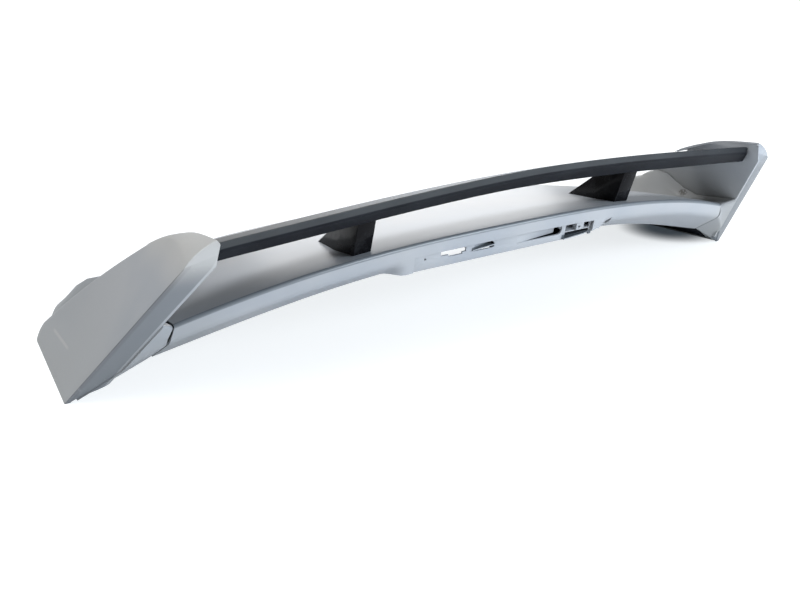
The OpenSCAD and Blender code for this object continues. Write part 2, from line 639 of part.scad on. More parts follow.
wing_stations = both_sides(wing_half);
function wing_row(profile, x) = [for (q = profile) [x, q[0], q[1]]];
function wing_end_row(profile, side) = [for (q = profile) [side * wing_end_x(q), q[0], q[1]]];
// end_steps: how the wall steps inwards at the two ends of the profile, where it is stated
module wing_shell(outer, wall, end_steps = []) {
    slab([for (r = outer) let (p = inset_profile([for (q = r) [q[1], q[2]]], wall), last = len(r) - 1)
        [for (j = [0 : last]) len(end_steps) > 0 && (j == 0 || j == last)
            ? r[j] + end_steps[j == 0 ? 0 : 1] : [r[j][0], p[j][0], p[j][1]]]], outer);
}
module wing_top_skin() {
    color(primer) wing_shell(concat(
        [wing_end_row(wing_top_profile(wing_last_x), -1)],
        [for (x = wing_stations) wing_row(wing_top_profile(x), x)],
        [wing_end_row(wing_top_profile(wing_last_x), 1)]), -wing_wall);
}
module wing_under_skin() {
    color(grained_black) difference() {
        wing_shell(concat(
            [wing_end_row(wing_under_profile(wing_last_x), -1)],
            [for (x = wing_stations) wing_row(wing_under_profile(x), x)],
            [wing_end_row(wing_under_profile(wing_last_x), 1)]), -wing_wall,
            [[0, -wing_wall, 0], [0, -0.8, -wing_wall]]);
        for (sx = [-1, 1])
            translate([sx * pillar_mid_x, head_screw_y, wing_under_z(pillar_mid_x, head_screw_y) - 6])
                cylinder(d = screw_d + 2 * screw_play, h = 14, $fn = 24);
    }
}
// Blocks in the ends of the wing that take the screws from the plates
end_block_y = -124;
end_block_l = 22;
end_block_z = 200.7;
end_block_h = 6;
end_block_w = 32;
end_screw_l = 34;
end_screw_in = 20;
end_screw_z = end_block_z + end_block_h / 2;
end_screw_y = end_block_y + end_block_l / 2;
end_block_x = inner_face_x(end_screw_y, end_block_z + end_block_h) - 4;
module wing_end_blocks() {
    color(grained_black) for (side = [0, 1]) mirror([side, 0, 0]) difference() {
        translate([end_block_x - end_block_w, end_block_y, end_block_z])
            cube([end_block_w, end_block_l, end_block_h]);
        translate([end_block_x - end_screw_in - 2, end_screw_y, end_screw_z]) rotate([0, 90, 0])
            cylinder(d = screw_d + 0.2, h = end_block_w, $fn = 24);
    }
}

// A closed solid through loops of points, capped at both ends by strips of triangles
module loft(loops) {
    m = len(loops[0]);
    last = len(loops) - 1;
    function cap(o, up) = [for (k = [0 : m / 2 - 2]) let (p = o + k, q = o + m - 1 - k) each
        up ? [[p, p + 1, q], [p + 1, q - 1, q]] : [[p, q, p + 1], [p + 1, q, q - 1]]];
    faces = concat(
        cap(0, true),
        [for (i = [0 : last - 1]) for (k = [0 : m - 1]) each [
            [i * m + k, (i + 1) * m + k, (i + 1) * m + (k + 1) % m],
            [i * m + k, (i + 1) * m + (k + 1) % m, i * m + (k + 1) % m]]],
        cap(last * m, false)
    );
    polyhedron([for (l = loops) each l], faces, convexity = 4);
}

// Pillars: fins with a flat rear face and a rounded nose
fin_steps = 7;
nose_w = 5;
function fin_outline(x1, w, y0, l) = concat(
    [[x1, y0], [x1, y0 + 0.45 * l]],
    [for (k = [0 : fin_steps]) let (a = 180 * k / fin_steps)
        [x1 - w / 2 + nose_w / 2 * cos(a), y0 + l - nose_w + nose_w * sin(a)]],
    [[x1 - w, y0 + 0.45 * l], [x1 - w, y0]]
);
function wing_under_z(x, y) = let (
    a = wing_low(x),
    b = wing_nose(x) + [-8, -nose_t],
    t = clamp01((y - a[0]) / (b[0] - a[0]))
) mix(a[1], b[1], t);
pillar_seat = 0.5;
pillar_head_y = -pillar_rear_y - pillar_rake;
function pillar_foot_loop() = [for (q = fin_outline(pillar_x, pillar_w, -pillar_rear_y, pillar_foot_l))
    [q[0], q[1], deck_top_z(q[0], q[1]) + pillar_seat]];
function pillar_head_loop() = [for (q = fin_outline(pillar_x + 1, pillar_w, pillar_head_y, pillar_head_l))
    [q[0], q[1], wing_under_z(q[0], q[1]) - pillar_seat]];
pillar_mid_x = pillar_x - pillar_w / 2;
foot_screw_in = 22;
foot_screw_pitch = 36;
foot_screw_y = [for (k = [0, 1]) -pillar_rear_y + foot_screw_in + k * foot_screw_pitch];
head_screw_y = pillar_head_y + 22;
screw_reach = 18;
module pillar(side) {
    color(gloss_black) mirror([side < 0 ? 1 : 0, 0, 0]) difference() {
        loft([pillar_foot_loop(), pillar_head_loop()]);
        for (y = foot_screw_y)
            translate([pillar_mid_x, y, deck_top_z(pillar_mid_x, y) - 5])
                cylinder(d = screw_d, h = screw_reach + 5, $fn = 24);
        translate([pillar_mid_x, head_screw_y, wing_under_z(pillar_mid_x, head_screw_y) - screw_reach])
            cylinder(d = screw_d, h = screw_reach + 8, $fn = 24);
    }
}

// A pan head screw with its tip down at z = 0 and its head above
module screw(l, d, head_d, head_h = 3.2) {
    cylinder(d = d, h = l, $fn = 24);
    translate([0, 0, l]) difference() {
        cylinder(d = head_d, h = head_h, $fn = 24);
        translate([0, 0, head_h - 2]) cylinder(d = head_d * 0.45, h = 3, $fn = 6);
    }
}
screw_play = 0.4;
head_clear = 2;
module tailgate_inserts() {
    color(brass) for (q = boss_spots) translate([q[0], q[1], boss_foot(q)]) difference() {
        cylinder(d = insert_d, h = insert_l - 0.2, $fn = 24);
        translate([0, 0, -1]) cylinder(d = insert_bore_d, h = insert_l + 2, $fn = 24);
    }
}
seal_d = 30;
seal_h = 2;
seal_lift = 0.2;
module tailgate_seals() {
    color(rubber_black) for (q = boss_spots) translate([q[0], q[1], boss_foot(q) + seal_lift]) difference() {
        cylinder(d = seal_d, h = seal_h, $fn = 24);
        translate([0, 0, -1]) cylinder(d = boss_d + 2 * seat_gap, h = boss_stand, $fn = 24);
    }
}
bolt_head_h = 4;
nut_h = 5;
module joint_bolts() {
    color("silver") for (side = [0, 1]) mirror([side, 0, 0]) for (y = joint_y)
        translate([deck_end - end_wall_t - nut_h - 3, y, joint_z(y)]) rotate([0, 90, 0]) {
            cylinder(d = joint_bolt_d, h = nut_h + 3 + 2 * end_wall_t + gasket_t + 0.2, $fn = 24);
            translate([0, 0, nut_h + 3 + 2 * end_wall_t + gasket_t + 0.2])
                cylinder(d = joint_bolt_d * 1.9, h = bolt_head_h, $fn = 6);
        }
}
module joint_nuts() {
    color("silver") for (side = [0, 1]) mirror([side, 0, 0]) for (y = joint_y)
        translate([deck_end - end_wall_t - nut_h - 0.2, y, joint_z(y)]) rotate([0, 90, 0]) difference() {
            cylinder(d = joint_bolt_d * 1.9, h = nut_h, $fn = 6);
            translate([0, 0, -1]) cylinder(d = joint_bolt_d + 0.2, h = nut_h + 2, $fn = 24);
        }
}
module pillar_foot_screws() {
    color("silver") for (side = [0, 1]) mirror([side, 0, 0]) for (y = foot_screw_y)
        translate([pillar_mid_x, y, deck_top_z(pillar_mid_x, y) + pillar_seat + screw_reach - 2])
            rotate([180, 0, 0])
                screw(screw_reach - 2 + pillar_seat + deck_wall + head_clear, screw_d, screw_head_d);
}
module pillar_head_screws() {
    color("silver") for (side = [0, 1]) mirror([side, 0, 0])
        translate([pillar_mid_x, head_screw_y, wing_under_z(pillar_mid_x, head_screw_y) - screw_reach + 1])
            screw(screw_reach - 1 + wing_wall + head_clear, screw_d, screw_head_d);
}
module wing_end_screws() {
    color("silver") for (side = [0, 1]) mirror([side, 0, 0])
        translate([end_block_x - end_screw_in, end_screw_y, end_screw_z]) rotate([0, 90, 0])
            screw(end_screw_l, screw_d, screw_head_d * 0.7);
}

translate([0, frame_y, 0]) {
    deck_top_skin();
    deck_under_tray();
    lamp_panel();
    seam_gasket(-1);  // left_seam_gasket
    seam_gasket(1);  // right_seam_gasket
    plate_outer_skin(-1);  // left_plate_outer_skin
    plate_outer_skin(1);  // right_plate_outer_skin
    plate_inner_skin(-1);  // left_plate_inner_skin
    plate_inner_skin(1);  // right_plate_inner_skin
    foot(-1);  // left_foot
    foot(1);  // right_foot
    wing_top_skin();
    wing_under_skin();
    foot_tray(-1);  // left_foot_tray
    foot_tray(1);  // right_foot_tray
    pillar(-1);  // left_pillar
    pillar(1);  // right_pillar
    tailgate_inserts();
    tailgate_seals();
    joint_bolts();
    joint_nuts();
    pillar_foot_screws();
    pillar_head_screws();
    wing_end_blocks();
    wing_end_screws();
}
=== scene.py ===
# %% [markdown]
# # Roof spoiler: the look of the part
# The real part is a hatchback's roof spoiler, off the car: an arched deck, a raised wing on two fins
# and two leaning end plates. Nearly all of it wears satin grey primer. The wing's lower half is
# grained black plastic, and the fins are polished black. The CAD model gives every piece its size and
# place. This script gives the pieces softer edges, finer curves and their finishes. Lengths are
# worked out in millimetres, as in the CAD source, and turned into metres where a mesh is made.

# %% Start
import json
import math

import bmesh
import bpy
import numpy as np
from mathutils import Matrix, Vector


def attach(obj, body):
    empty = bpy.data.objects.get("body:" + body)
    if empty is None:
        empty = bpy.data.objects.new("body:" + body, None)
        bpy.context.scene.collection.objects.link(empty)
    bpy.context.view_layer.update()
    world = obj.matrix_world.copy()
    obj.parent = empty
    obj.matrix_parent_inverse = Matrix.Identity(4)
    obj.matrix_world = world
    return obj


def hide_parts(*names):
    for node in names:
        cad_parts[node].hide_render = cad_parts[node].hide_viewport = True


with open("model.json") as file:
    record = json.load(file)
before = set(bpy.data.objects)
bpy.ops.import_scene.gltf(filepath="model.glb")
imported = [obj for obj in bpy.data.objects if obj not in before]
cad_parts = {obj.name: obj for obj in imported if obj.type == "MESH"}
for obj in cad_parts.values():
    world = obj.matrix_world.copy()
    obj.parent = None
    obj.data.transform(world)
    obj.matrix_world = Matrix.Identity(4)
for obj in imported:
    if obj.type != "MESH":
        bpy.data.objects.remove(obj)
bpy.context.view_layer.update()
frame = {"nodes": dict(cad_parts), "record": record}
NODES = frame["nodes"]
MM = 0.001
# The sections are drawn with y = 0 at the plates' tips. This is where the tips lie in the frame.
FRAME_Y = -41.5
print("CAD nodes:", len(NODES))

# %% [markdown]
# ## Helpers for curves
# A moulding is drawn as a grid of points: one row for each station along the part, one column for
# each point of its profile. Real mouldings have no sharp corners, so each corner of a profile is
# replaced by a short curve. It starts and ends one radius away from the corner, or sooner where the
# sides are short.

# %% Curves
CORNER_STEPS, CORNER_SHARE = 5, 0.48


def mix(a, b, t):
    return a + (b - a) * t


def smooth(t):
    t = np.clip(t, 0.0, 1.0)
    return t * t * (3 - 2 * t)


def bezier(a, b, c, t):
    return (1 - t) ** 2 * a + 2 * t * (1 - t) * b + t * t * c


def rounded(points, radii):
    """A polyline whose inner corners become short curves. A radius of 0 leaves a corner as it is."""
    points = [np.asarray(p, float) for p in points]
    out = [points[0]]
    for before, p, after, r in zip(points, points[1:], points[2:], radii[1:]):
        if r <= 0:
            out.append(p)
            continue
        a, b = before - p, after - p
        la, lb = np.linalg.norm(a), np.linalg.norm(b)
        k = min(r, CORNER_SHARE * la, CORNER_SHARE * lb)
        a, b = p + a / la * k, p + b / lb * k
        out += [bezier(a, p, b, j / CORNER_STEPS) for j in range(CORNER_STEPS + 1)]
    out.append(points[-1])
    return np.array(out)


def grid_normals(grid):
    across = np.cross(np.gradient(grid, axis=0), np.gradient(grid, axis=1))
    return across / np.maximum(np.linalg.norm(across, axis=2, keepdims=True), 1e-9)


print("a square corner becomes", len(rounded([[0, 0], [1, 0], [1, 1]], [0, 0.2, 0])) - 2, "points")

# %% [markdown]
# ## Helpers for shells
# A grid on its own is a sheet without thickness. A Solidify modifier could thicken it, but here a
# second grid is set one wall further in and the two are joined round the edge, because the wall is
# then exact and the solid is closed from the start. A grid can also carry a weight for each column,
# which the materials read later to paint shade along the deck's rear top edge and a highlight along
# the wing's bevel. Every piece made here stands for a node of the CAD model, and a list remembers
# which finish each one gets.

# %% Shells
SHARP = math.radians(38)
WELD = 1e-6
BOX_LOW, BOX_HIGH = [-619.9, -225.4, 0.05], [619.9, 225.6, 259.9]
DRESSED = []


def new_object(name, mesh):
    obj = bpy.data.objects.new(name, mesh)
    bpy.context.scene.collection.objects.link(obj)
    return obj


def close_up(mesh):
    """Merges doubled points, turns the faces outwards and shades them smooth between sharp edges."""
    bm = bmesh.new()
    bm.from_mesh(mesh)
    bmesh.ops.remove_doubles(bm, verts=bm.verts, dist=WELD)
    bmesh.ops.recalc_face_normals(bm, faces=bm.faces)
    for f in bm.faces:
        f.smooth = True
    bm.to_mesh(mesh)
    bm.free()
    mesh.set_sharp_from_angle(angle=SHARP)


def applied(obj):
    """What the object's modifiers make becomes its own plain mesh."""
    bpy.context.view_layer.update()
    seen = obj.evaluated_get(bpy.context.evaluated_depsgraph_get())
    mesh = bpy.data.meshes.new_from_object(seen)
    obj.modifiers.clear()
    obj.data = mesh
    return mesh


def shell(name, grid, wall, flip=False, mark=None):
    """A closed solid from a grid and its copy one wall further in, kept inside the CAD model's box."""
    inner = grid - grid_normals(grid) * (-1 if flip else 1) * wall
    rows, cols = grid.shape[:2]
    size = rows * cols
    points = np.concatenate([grid.reshape(-1, 3), inner.reshape(-1, 3)])
    points = np.clip(points + [0, FRAME_Y, 0], BOX_LOW, BOX_HIGH) * MM
    ids = np.arange(size).reshape(rows, cols)
    a, b, c, d = ids[:-1, :-1], ids[1:, :-1], ids[1:, 1:], ids[:-1, 1:]
    outside = np.stack([a, b, c, d], -1).reshape(-1, 4)
    inside = np.stack([a, d, c, b], -1).reshape(-1, 4) + size
    quads = outside.tolist() + inside.tolist()
    ring = [int(i) for i in [*ids[:, 0], *ids[-1, 1:], *ids[-2::-1, -1], *ids[0, -2:0:-1]]]
    quads += [[p, p + size, q + size, q] for p, q in zip(ring, ring[1:] + ring[:1])]
    mesh = bpy.data.meshes.new(name)
    mesh.from_pydata(points.tolist(), [], quads)
    if mark is not None:
        weights = np.tile(np.array(mark, dtype=float), 2 * rows)
        mesh.attributes.new("mark", "FLOAT", "POINT").data.foreach_set("value", weights)
    close_up(mesh)
    return new_object(name, mesh)


def mirrored(obj, name):
    """The same piece for the other side, with its faces turned back to point outwards."""
    mesh = obj.data.copy()
    mesh.name = name
    bm = bmesh.new()
    bm.from_mesh(mesh)
    for v in bm.verts:
        v.co.x = -v.co.x
    bmesh.ops.reverse_faces(bm, faces=bm.faces)
    bm.to_mesh(mesh)
    bm.free()
    return new_object(name, mesh)


def stands_for(obj, node, slot):
    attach(obj, "root")
    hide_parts(node)
    DRESSED.append((obj, slot))
    print(obj.name, "stands for", node, "with", len(obj.data.polygons), "faces")


print("pieces are kept between", BOX_LOW, "and", BOX_HIGH, "mm")

# %% [markdown]
# ## The deck
# The deck is one wide moulding. Its rear edge is an arch seen from behind and a sweep seen from
# above, and both follow a power of the distance from the centre. Below the edge there are two
# facets, and in the middle one tall face for the lamp box. The two forms fade into each other. The
# main sizes are the CAD source's own, with rounded corners and many more stations. At the end the
# columns of the rear top edge get a weight of 1, so that the primer can paint a thin line of shade
# along that edge.

# %% Deck
DECK_HALF, GASKET, JOINT_GAP = 501.0, 2.4, 0.6
EDGE_Y, EDGE_SWEEP, EDGE_SWEEP_POWER = -122, 36, 3.25
EDGE_Z, EDGE_DROP, EDGE_DROP_POWER = 164, 56, 2.8
FRONT_Y, FRONT_BOW, TOP_FALL, CROWN = 226, 40, math.tan(math.radians(8.1)), 20
BOX_HALF, BOX_FADE = 178, 26
UPPER_FACET, LOWER_FACET, NARROWEST = np.array([6, -21]), np.array([52, -35]), 0.42
BOX_UPPER, BOX_LOWER = np.array([4, -20]), [8, -40]
TOP_POINTS, LIP_OUT, LIP_DROP = 12, 1, 16
JOINT_SLANT, SLANT_POWER = [6, 13], 8
LIP_R, EDGE_R, FACET_R = 6, 2.2, 7
DECK_STATIONS, DECK_WALL, EDGE_REACH = 181, 3.0, 3.0


def deck_edge(x):
    s = abs(x) / DECK_HALF
    return np.array([EDGE_Y + EDGE_SWEEP * s ** EDGE_SWEEP_POWER, EDGE_Z - EDGE_DROP * s ** EDGE_DROP_POWER])


def deck_front(x):
    return FRONT_Y + FRONT_BOW * (abs(x) / DECK_HALF) ** 2


def deck_top(x, y):
    a = deck_edge(x)
    t = np.clip((y - a[0]) / (deck_front(x) - a[0]), 0, 1)
    return a[1] - TOP_FALL * (y - a[0]) + CROWN * t * (1 - t)


def box_mix(x):
    """1 across the lamp box, 0 beyond it."""
    return 1 - smooth((abs(x) - BOX_HALF) / BOX_FADE)


def deck_profile(x):
    """Corner points from the front lip over the top to the lower edge of the rear face, as x, y, z."""
    a = deck_edge(x)
    w = box_mix(x)
    reach = mix(NARROWEST, 1.0, smooth((abs(x) - BOX_HALF) / (DECK_HALF - BOX_HALF)))
    b = a + mix(UPPER_FACET, BOX_UPPER, w)
    c = mix(b + reach * LOWER_FACET, a + BOX_LOWER, w)
    front = deck_front(x)
    lip = [front + LIP_OUT, deck_top(x, front) - LIP_DROP]
    ys = [mix(a[0], front, t) for t in np.linspace(1, 0, TOP_POINTS + 1)[:-1]]
    flat = [lip] + [[y, deck_top(x, y)] for y in ys] + [a, b, c]
    slant = [0] * (len(flat) - 2) + JOINT_SLANT
    k = min(abs(x) / DECK_HALF, 1) ** SLANT_POWER * np.sign(x)
    return [np.array([x + o * k, p[0], p[1]]) for o, p in zip(slant, flat)]


DECK_RADII = [0, LIP_R] + [0] * (TOP_POINTS - 1) + [EDGE_R, FACET_R, 0]


def deck_row(x):
    return rounded(deck_profile(x), DECK_RADII)


deck_end = DECK_HALF - GASKET / 2 - JOINT_GAP
grid = np.array([deck_row(x) for x in np.linspace(-1, 1, DECK_STATIONS) * deck_end])
corner = np.array([0.0, *deck_edge(0)])
near_edge = np.flatnonzero(np.linalg.norm(deck_row(0) - corner, axis=1) < EDGE_REACH)
# The rear top edge's columns, which get a thin line of painted shade.
edge_shade_mark = [float(near_edge[0] < i < near_edge[-1]) for i in range(grid.shape[1])]
deck = shell("deck_top", grid, DECK_WALL, mark=edge_shade_mark)
print("deck grid", grid.shape, "with", int(sum(edge_shade_mark)), "marked columns")

# %% [markdown]
# ## The brake lamp recess
# The lower band of the lamp box is open, and the panel behind it shows. A Boolean modifier with a
# prism takes the band out in one step, and the prism's upper edge follows the arch. A second, small
# prism rises at the right end, where the real box is cut back towards the first facet.

# %% Recess
RECESS_HALF, BAND, RECESS_LOW, ARCH_POINTS = 166.0, 18.0, 84, 13
BAND_DEPTH, RISE_DEPTH = (-137, -107), (-137, -104)
RISE = [(163, 125), (172, 127), (182, 131), (194, 137), (206, 141), (206, RECESS_LOW), (163, RECESS_LOW)]


def prism(name, outline, depth):
    """An outline in x and z, drawn out between two depths."""
    bm = bmesh.new()
    near, far = [[bm.verts.new((x * MM, (y + FRAME_Y) * MM, z * MM)) for x, z in outline] for y in depth]
    bm.faces.new(near)
    bm.faces.new(far[::-1])
    for i in range(len(outline)):
        j = (i + 1) % len(outline)
        bm.faces.new((near[j], near[i], far[i], far[j]))
    bmesh.ops.recalc_face_normals(bm, faces=bm.faces)
    mesh = bpy.data.meshes.new(name)
    bm.to_mesh(mesh)
    bm.free()
    return new_object(name, mesh)


def carve(obj, cutter):
    mod = obj.modifiers.new("cut", "BOOLEAN")
    mod.operation = "DIFFERENCE"
    mod.solver = "EXACT"
    mod.object = cutter
    mesh = applied(obj)
    bpy.data.objects.remove(cutter)
    mesh.set_sharp_from_angle(angle=SHARP)


arch = [(x, deck_edge(x)[1] - BAND) for x in np.linspace(-RECESS_HALF, RECESS_HALF, ARCH_POINTS)]
sill = [(RECESS_HALF, RECESS_LOW), (-RECESS_HALF, RECESS_LOW)]
carve(deck, prism("recess", arch + sill, BAND_DEPTH))
carve(deck, prism("recess_end", RISE, RISE_DEPTH))
stands_for(deck, "deck_top_skin", "primer")

# %% [markdown]
# ## The end plates
# An end plate leans inwards and is thick at the tail, thin at the leading edge. Its outer moulding
# has a flat trailing face, a slightly bulged side and a top that curls inwards. The side is ruled
# between the tail line and the outline of the leading edge, so rows from the floor to the crease,
# carried on over the top, describe it all. The trailing face keeps its width down to just above the
# tip. One plate is made and mirrored.

# %% Plate surface
HALF_WIDTH, LEAN, TOE = 620, 0.622, 0.117
SHOULDER = (163.0, 205.0)
NOSE_Y, NOSE_R, CREASE, FALL = 227.0, 14.0, 194.0, math.radians(32.5)
BOW, BOW_TOP = 17.0, 13
TAIL_W, TIP_W, TAIL_RISE, LEAD_W, RIM_BACK = 37.0, 8.0, 0.14, 16.0, 0.3
CREST, CREST_END, CREST_POWER, CREST_PLACE = 18.0, 9, 3.5, 1.05
ARC_POINTS, RUN_POINTS, FACE_POINTS, CURL_ROWS = 15, 22, 15, 12


def on_plate(y, z):
    return np.array([HALF_WIDTH - TOE * y - LEAN * z, y, z])


def nose_point(angle):
    return np.array([NOSE_Y, NOSE_R]) + NOSE_R * np.array([math.cos(angle), math.sin(angle)])


LEAD_DIR = np.array([-math.cos(FALL), math.sin(FALL)])
LEAD_UP = math.pi / 2 - FALL
LEAD_START = nose_point(LEAD_UP)
LEAD_LEN = (CREASE - LEAD_START[1]) / LEAD_DIR[1]


def bow(t):
    return 4 * BOW * t * (1 - t) + BOW_TOP * t * t


def lead_share(z):
    return min(max((z - LEAD_START[1]) / (CREASE - LEAD_START[1]), 0), 1)


def lead_y_at(z):
    return LEAD_START[0] + (z - LEAD_START[1]) * LEAD_DIR[0] / LEAD_DIR[1] + bow(lead_share(z))


def lead_z_at(y):
    slope = LEAD_DIR[1] / LEAD_DIR[0]
    chord = LEAD_START[1] + (y - LEAD_START[0]) * slope
    return LEAD_START[1] + (y - bow(lead_share(chord)) - LEAD_START[0]) * slope


def lead_outline():
    """The leading edge in y and z: round the nose at the floor, then up the bowed run to the crease."""
    arc = [nose_point(a) for a in np.linspace(-math.pi / 2, LEAD_UP, ARC_POINTS)]
    run = [LEAD_START + LEAD_DIR * LEAD_LEN * t + [bow(t), 0] for t in np.linspace(0, 1, RUN_POINTS)[1:]]
    return arc + run


def tail_width(v):
    return mix(TIP_W, TAIL_W, smooth(v / TAIL_RISE))


def tail_point(v):
    return on_plate(-SHOULDER[0] * v, SHOULDER[1] * v)


def rim_point(v):
    w = tail_width(v)
    return tail_point(v) + [-w, -RIM_BACK * (w - TIP_W), 0]


def crest(u):
    return math.sin(math.pi * u ** CREST_PLACE)


def face_point(lead, u):
    v = lead[1] / CREASE
    rise = np.array([-LEAN, 0, 1]) * CREST * v ** CREST_POWER * crest(u)
    return mix(tail_point(v), on_plate(*lead), u) + rise


print("leading edge", round(LEAD_LEN), "mm long, from", [round(c, 1) for c in LEAD_START.tolist()])

# %% [markdown]
# The top curls inwards from the crease. Its two end curves are drawn with a corner point and an end
# point each, and the rows between them are blended. Each row starts just behind the rim of the
# trailing face and ends on a short return behind the leading edge.

# %% Plate outer mouldings
TAIL_CURL, LEAD_CURL = ([-12, -4, 20], [-40, -8, 31]), ([-8, 4, 4], [-34, 8, 1])
RIM_RETURN, RIM_CURL = [0.4, 3.0, 0], np.array([-6, -2, 25])
RETURN_SHARE, RETURN_GROWTH, RETURN_FALL = 0.4, 4, 2
RIM_R, TAIL_R, LEAD_R, OUTER_WALL = 1.4, 1.6, 7.0, 2.8
PLATE_U = np.linspace(0, 1, FACE_POINTS)


def curl_point(t, u):
    a, b = tail_point(1), on_plate(*lead_outline()[-1])
    tail = bezier(a, a + TAIL_CURL[0], a + TAIL_CURL[1], t)
    lead = bezier(b, b + LEAD_CURL[0], b + LEAD_CURL[1], t)
    return mix(tail, lead, u) + np.array([-LEAN * (1 - t), 0, 1]) * mix(CREST, CREST_END, t) * crest(u)


def plate_row(rim, face, back):
    points = [rim + RIM_RETURN, rim] + face + [back]
    return rounded(points, [0, RIM_R, TAIL_R] + [0] * (len(face) - 2) + [LEAD_R, 0])


def plate_grid():
    rows = []
    for lead in lead_outline():
        v = lead[1] / CREASE
        face = [face_point(lead, u) for u in PLATE_U]
        back = face[-1] + [-LEAD_W * mix(RETURN_SHARE, 1, min(v * RETURN_GROWTH, 1)), 0, 0]
        rows.append(plate_row(rim_point(v), face, back))
    for t in np.linspace(0, 1, CURL_ROWS)[1:]:
        face = [curl_point(t, u) for u in PLATE_U]
        back = face[-1] + [-LEAD_W * RETURN_SHARE, 0, -RETURN_FALL]
        rows.append(plate_row(rim_point(1) + RIM_CURL * t, face, back))
    return np.array(rows)


grid = plate_grid()
right = shell("right_plate_outer", grid, OUTER_WALL, flip=True)
left = mirrored(right, "left_plate_outer")
stands_for(right, "right_plate_outer_skin", "primer")
stands_for(left, "left_plate_outer_skin", "primer")
print("plate grid", grid.shape)

# %% [markdown]
# ## The plates' inner mouldings
# The inner moulding closes a plate on the side of the wing. It follows the outer one at the plate's
# thickness and meets the trailing face and the curled top just inside their edges. Its first point
# in each row hides behind the rim, and its last one under the return of the leading edge.

# %% Plate inner mouldings
INNER_POINTS, INNER_START, INNER_WALL, THINNING = 16, 3, 1.8, 0.8
LEAD_GAP, RIM_SHARE, RIM_SETBACK = 4.0, 0.08, 1.2
TOP_SHARE, TOP_GAP, TOP_START_GAP, TOP_HOLLOW = 0.97, [0.6, 0, -1.0], 0.6, 3
TOP_LEVELS = (0.15, 0.3, 0.5, 0.7, 0.85, 1.0)
INNER_U = np.linspace(0, 1, INNER_POINTS)


def plate_t(u, v):
    return mix(tail_width(v), LEAD_W, u ** THINNING)


def inner_row(lead):
    v = lead[1] / CREASE
    last = 1 - LEAD_GAP / (lead[0] + SHOULDER[0] * v)
    back = RIM_BACK * (tail_width(v) - TIP_W)
    row = []
    for f in INNER_U:
        u = f * last
        near_rim = 1 - smooth(f / RIM_SHARE)
        row.append(face_point(lead, u) + [-plate_t(u, v), near_rim * (RIM_SETBACK - back), 0])
    return np.array(row)


def inner_top(lead, t):
    """A row on the way from the crease up to the curled top."""
    end = np.array([curl_point(1, f * TOP_SHARE) + TOP_GAP for f in INNER_U])
    end[0, 1] += TOP_START_GAP
    return mix(inner_row(lead), end, t) + np.array([-TOP_HOLLOW * t * (1 - t), 0, 0])


outline = lead_outline()
side_rows = [inner_row(lead) for lead in outline[INNER_START:]]
grid = np.array(side_rows + [inner_top(outline[-1], t) for t in TOP_LEVELS])
right = shell("right_plate_inner", grid, INNER_WALL)
left = mirrored(right, "left_plate_inner")
stands_for(right, "right_plate_inner_skin", "primer")
stands_for(left, "left_plate_inner_skin", "primer")

# %% [markdown]
# ## The feet
# A foot carries the deck's section from the joint out to the plate. Its rows run between the deck's
# last profile and a seat on the plate's inner side and trailing face, with a hollow fillet between.
# Towards its front it swells just inside the leading edge, and stands above the plate's outline
# there, as the photo shows past the near plate.

# %% Feet
SEAT_LEVELS, SEAT_GAP = (0.58, 0.255, 0.03), [0.6, 0.4, 0]
FOOT_JOINT_GAP, FOOT_WALL, FOOT_ROWS, FOOT_LIP = 0.8, 2.6, 25, 9.6
FOOT_FRONT, FOOT_HOLLOW, HOLLOW_POWER, SWELL_POWER = NOSE_Y + 21, 12, 4, 3
UNDER_EDGE, SIDE_GAP, LOWEST_LEAD = 0.5, 0.4, 30
TURN_FROM, TURN_RUN = -10, 90
SWELL, SWELL_FROM, SWELL_RUN, SWELL_PEAK, SWELL_TAIL = 27, 52, 138, 0.8, 0.2
EASE_FROM, EASE_RUN, EASE_TO = 165, 85, 0.6


def plate_share(y, z):
    """Where a place lies between the tail, 0, and the leading edge, 1."""
    tail_y = -SHOULDER[0] * z / SHOULDER[1]
    return min(max((y - tail_y) / (lead_y_at(max(z, LOWEST_LEAD)) - tail_y), 0), 1)


def inner_face_x(y, z):
    v = min(max(z / SHOULDER[1], 0), 1)
    return on_plate(y, z)[0] - plate_t(plate_share(y, z), v)


SEAT = [rim_point(v) + SEAT_GAP for v in SEAT_LEVELS]


def foot_top_end(y):
    flat = SEAT[0][2] - TOP_FALL * (y - SEAT[0][1])
    z = mix(flat, lead_z_at(y) - UNDER_EDGE, smooth((y - TURN_FROM) / TURN_RUN))
    return np.array([inner_face_x(y, z) - SIDE_GAP, y, z])


def swell(y, t):
    """The height of the swelling at a depth and a share of the way out from the joint."""
    along = smooth((y - SWELL_FROM) / SWELL_RUN) * mix(1, EASE_TO, smooth((y - EASE_FROM) / EASE_RUN))
    return SWELL * along * (t / SWELL_PEAK) ** SWELL_POWER * (1 - t) / SWELL_TAIL


def foot_grid():
    row = deck_profile(DECK_HALF + GASKET / 2 + FOOT_JOINT_GAP)
    ys = [mix(SEAT[0][1], FOOT_FRONT, t) for t in np.linspace(1, 0, TOP_POINTS + 1)[:-1]]
    end = [foot_top_end(FOOT_FRONT) + [0, 0, -FOOT_LIP]] + [foot_top_end(y) for y in ys] + SEAT
    top_end = len(row) - 3
    rows = []
    for t in np.linspace(0, 1, FOOT_ROWS):
        points = []
        for j, (a, b) in enumerate(zip(row, end)):
            dip = -FOOT_HOLLOW * (t - t ** HOLLOW_POWER) if 0 < j < top_end else 0
            rise = swell(b[1], t) if j < top_end else 0
            points.append(mix(a, b, t) + [0, 0, dip + rise])
        rows.append(rounded(points, DECK_RADII))
    return np.array(rows)


right = shell("right_foot_skin", foot_grid(), FOOT_WALL)
left = mirrored(right, "left_foot_skin")
stands_for(right, "right_foot", "primer")
stands_for(left, "left_foot", "primer")

# %% [markdown]
# ## Node maths
# The wing and the materials are built from nodes. Their maths is written as Python expressions: a
# small class wraps a socket, and each operator on it adds a Math node. All other nodes come from one
# function, which takes a node's type, its settings and the values or links of its sockets.

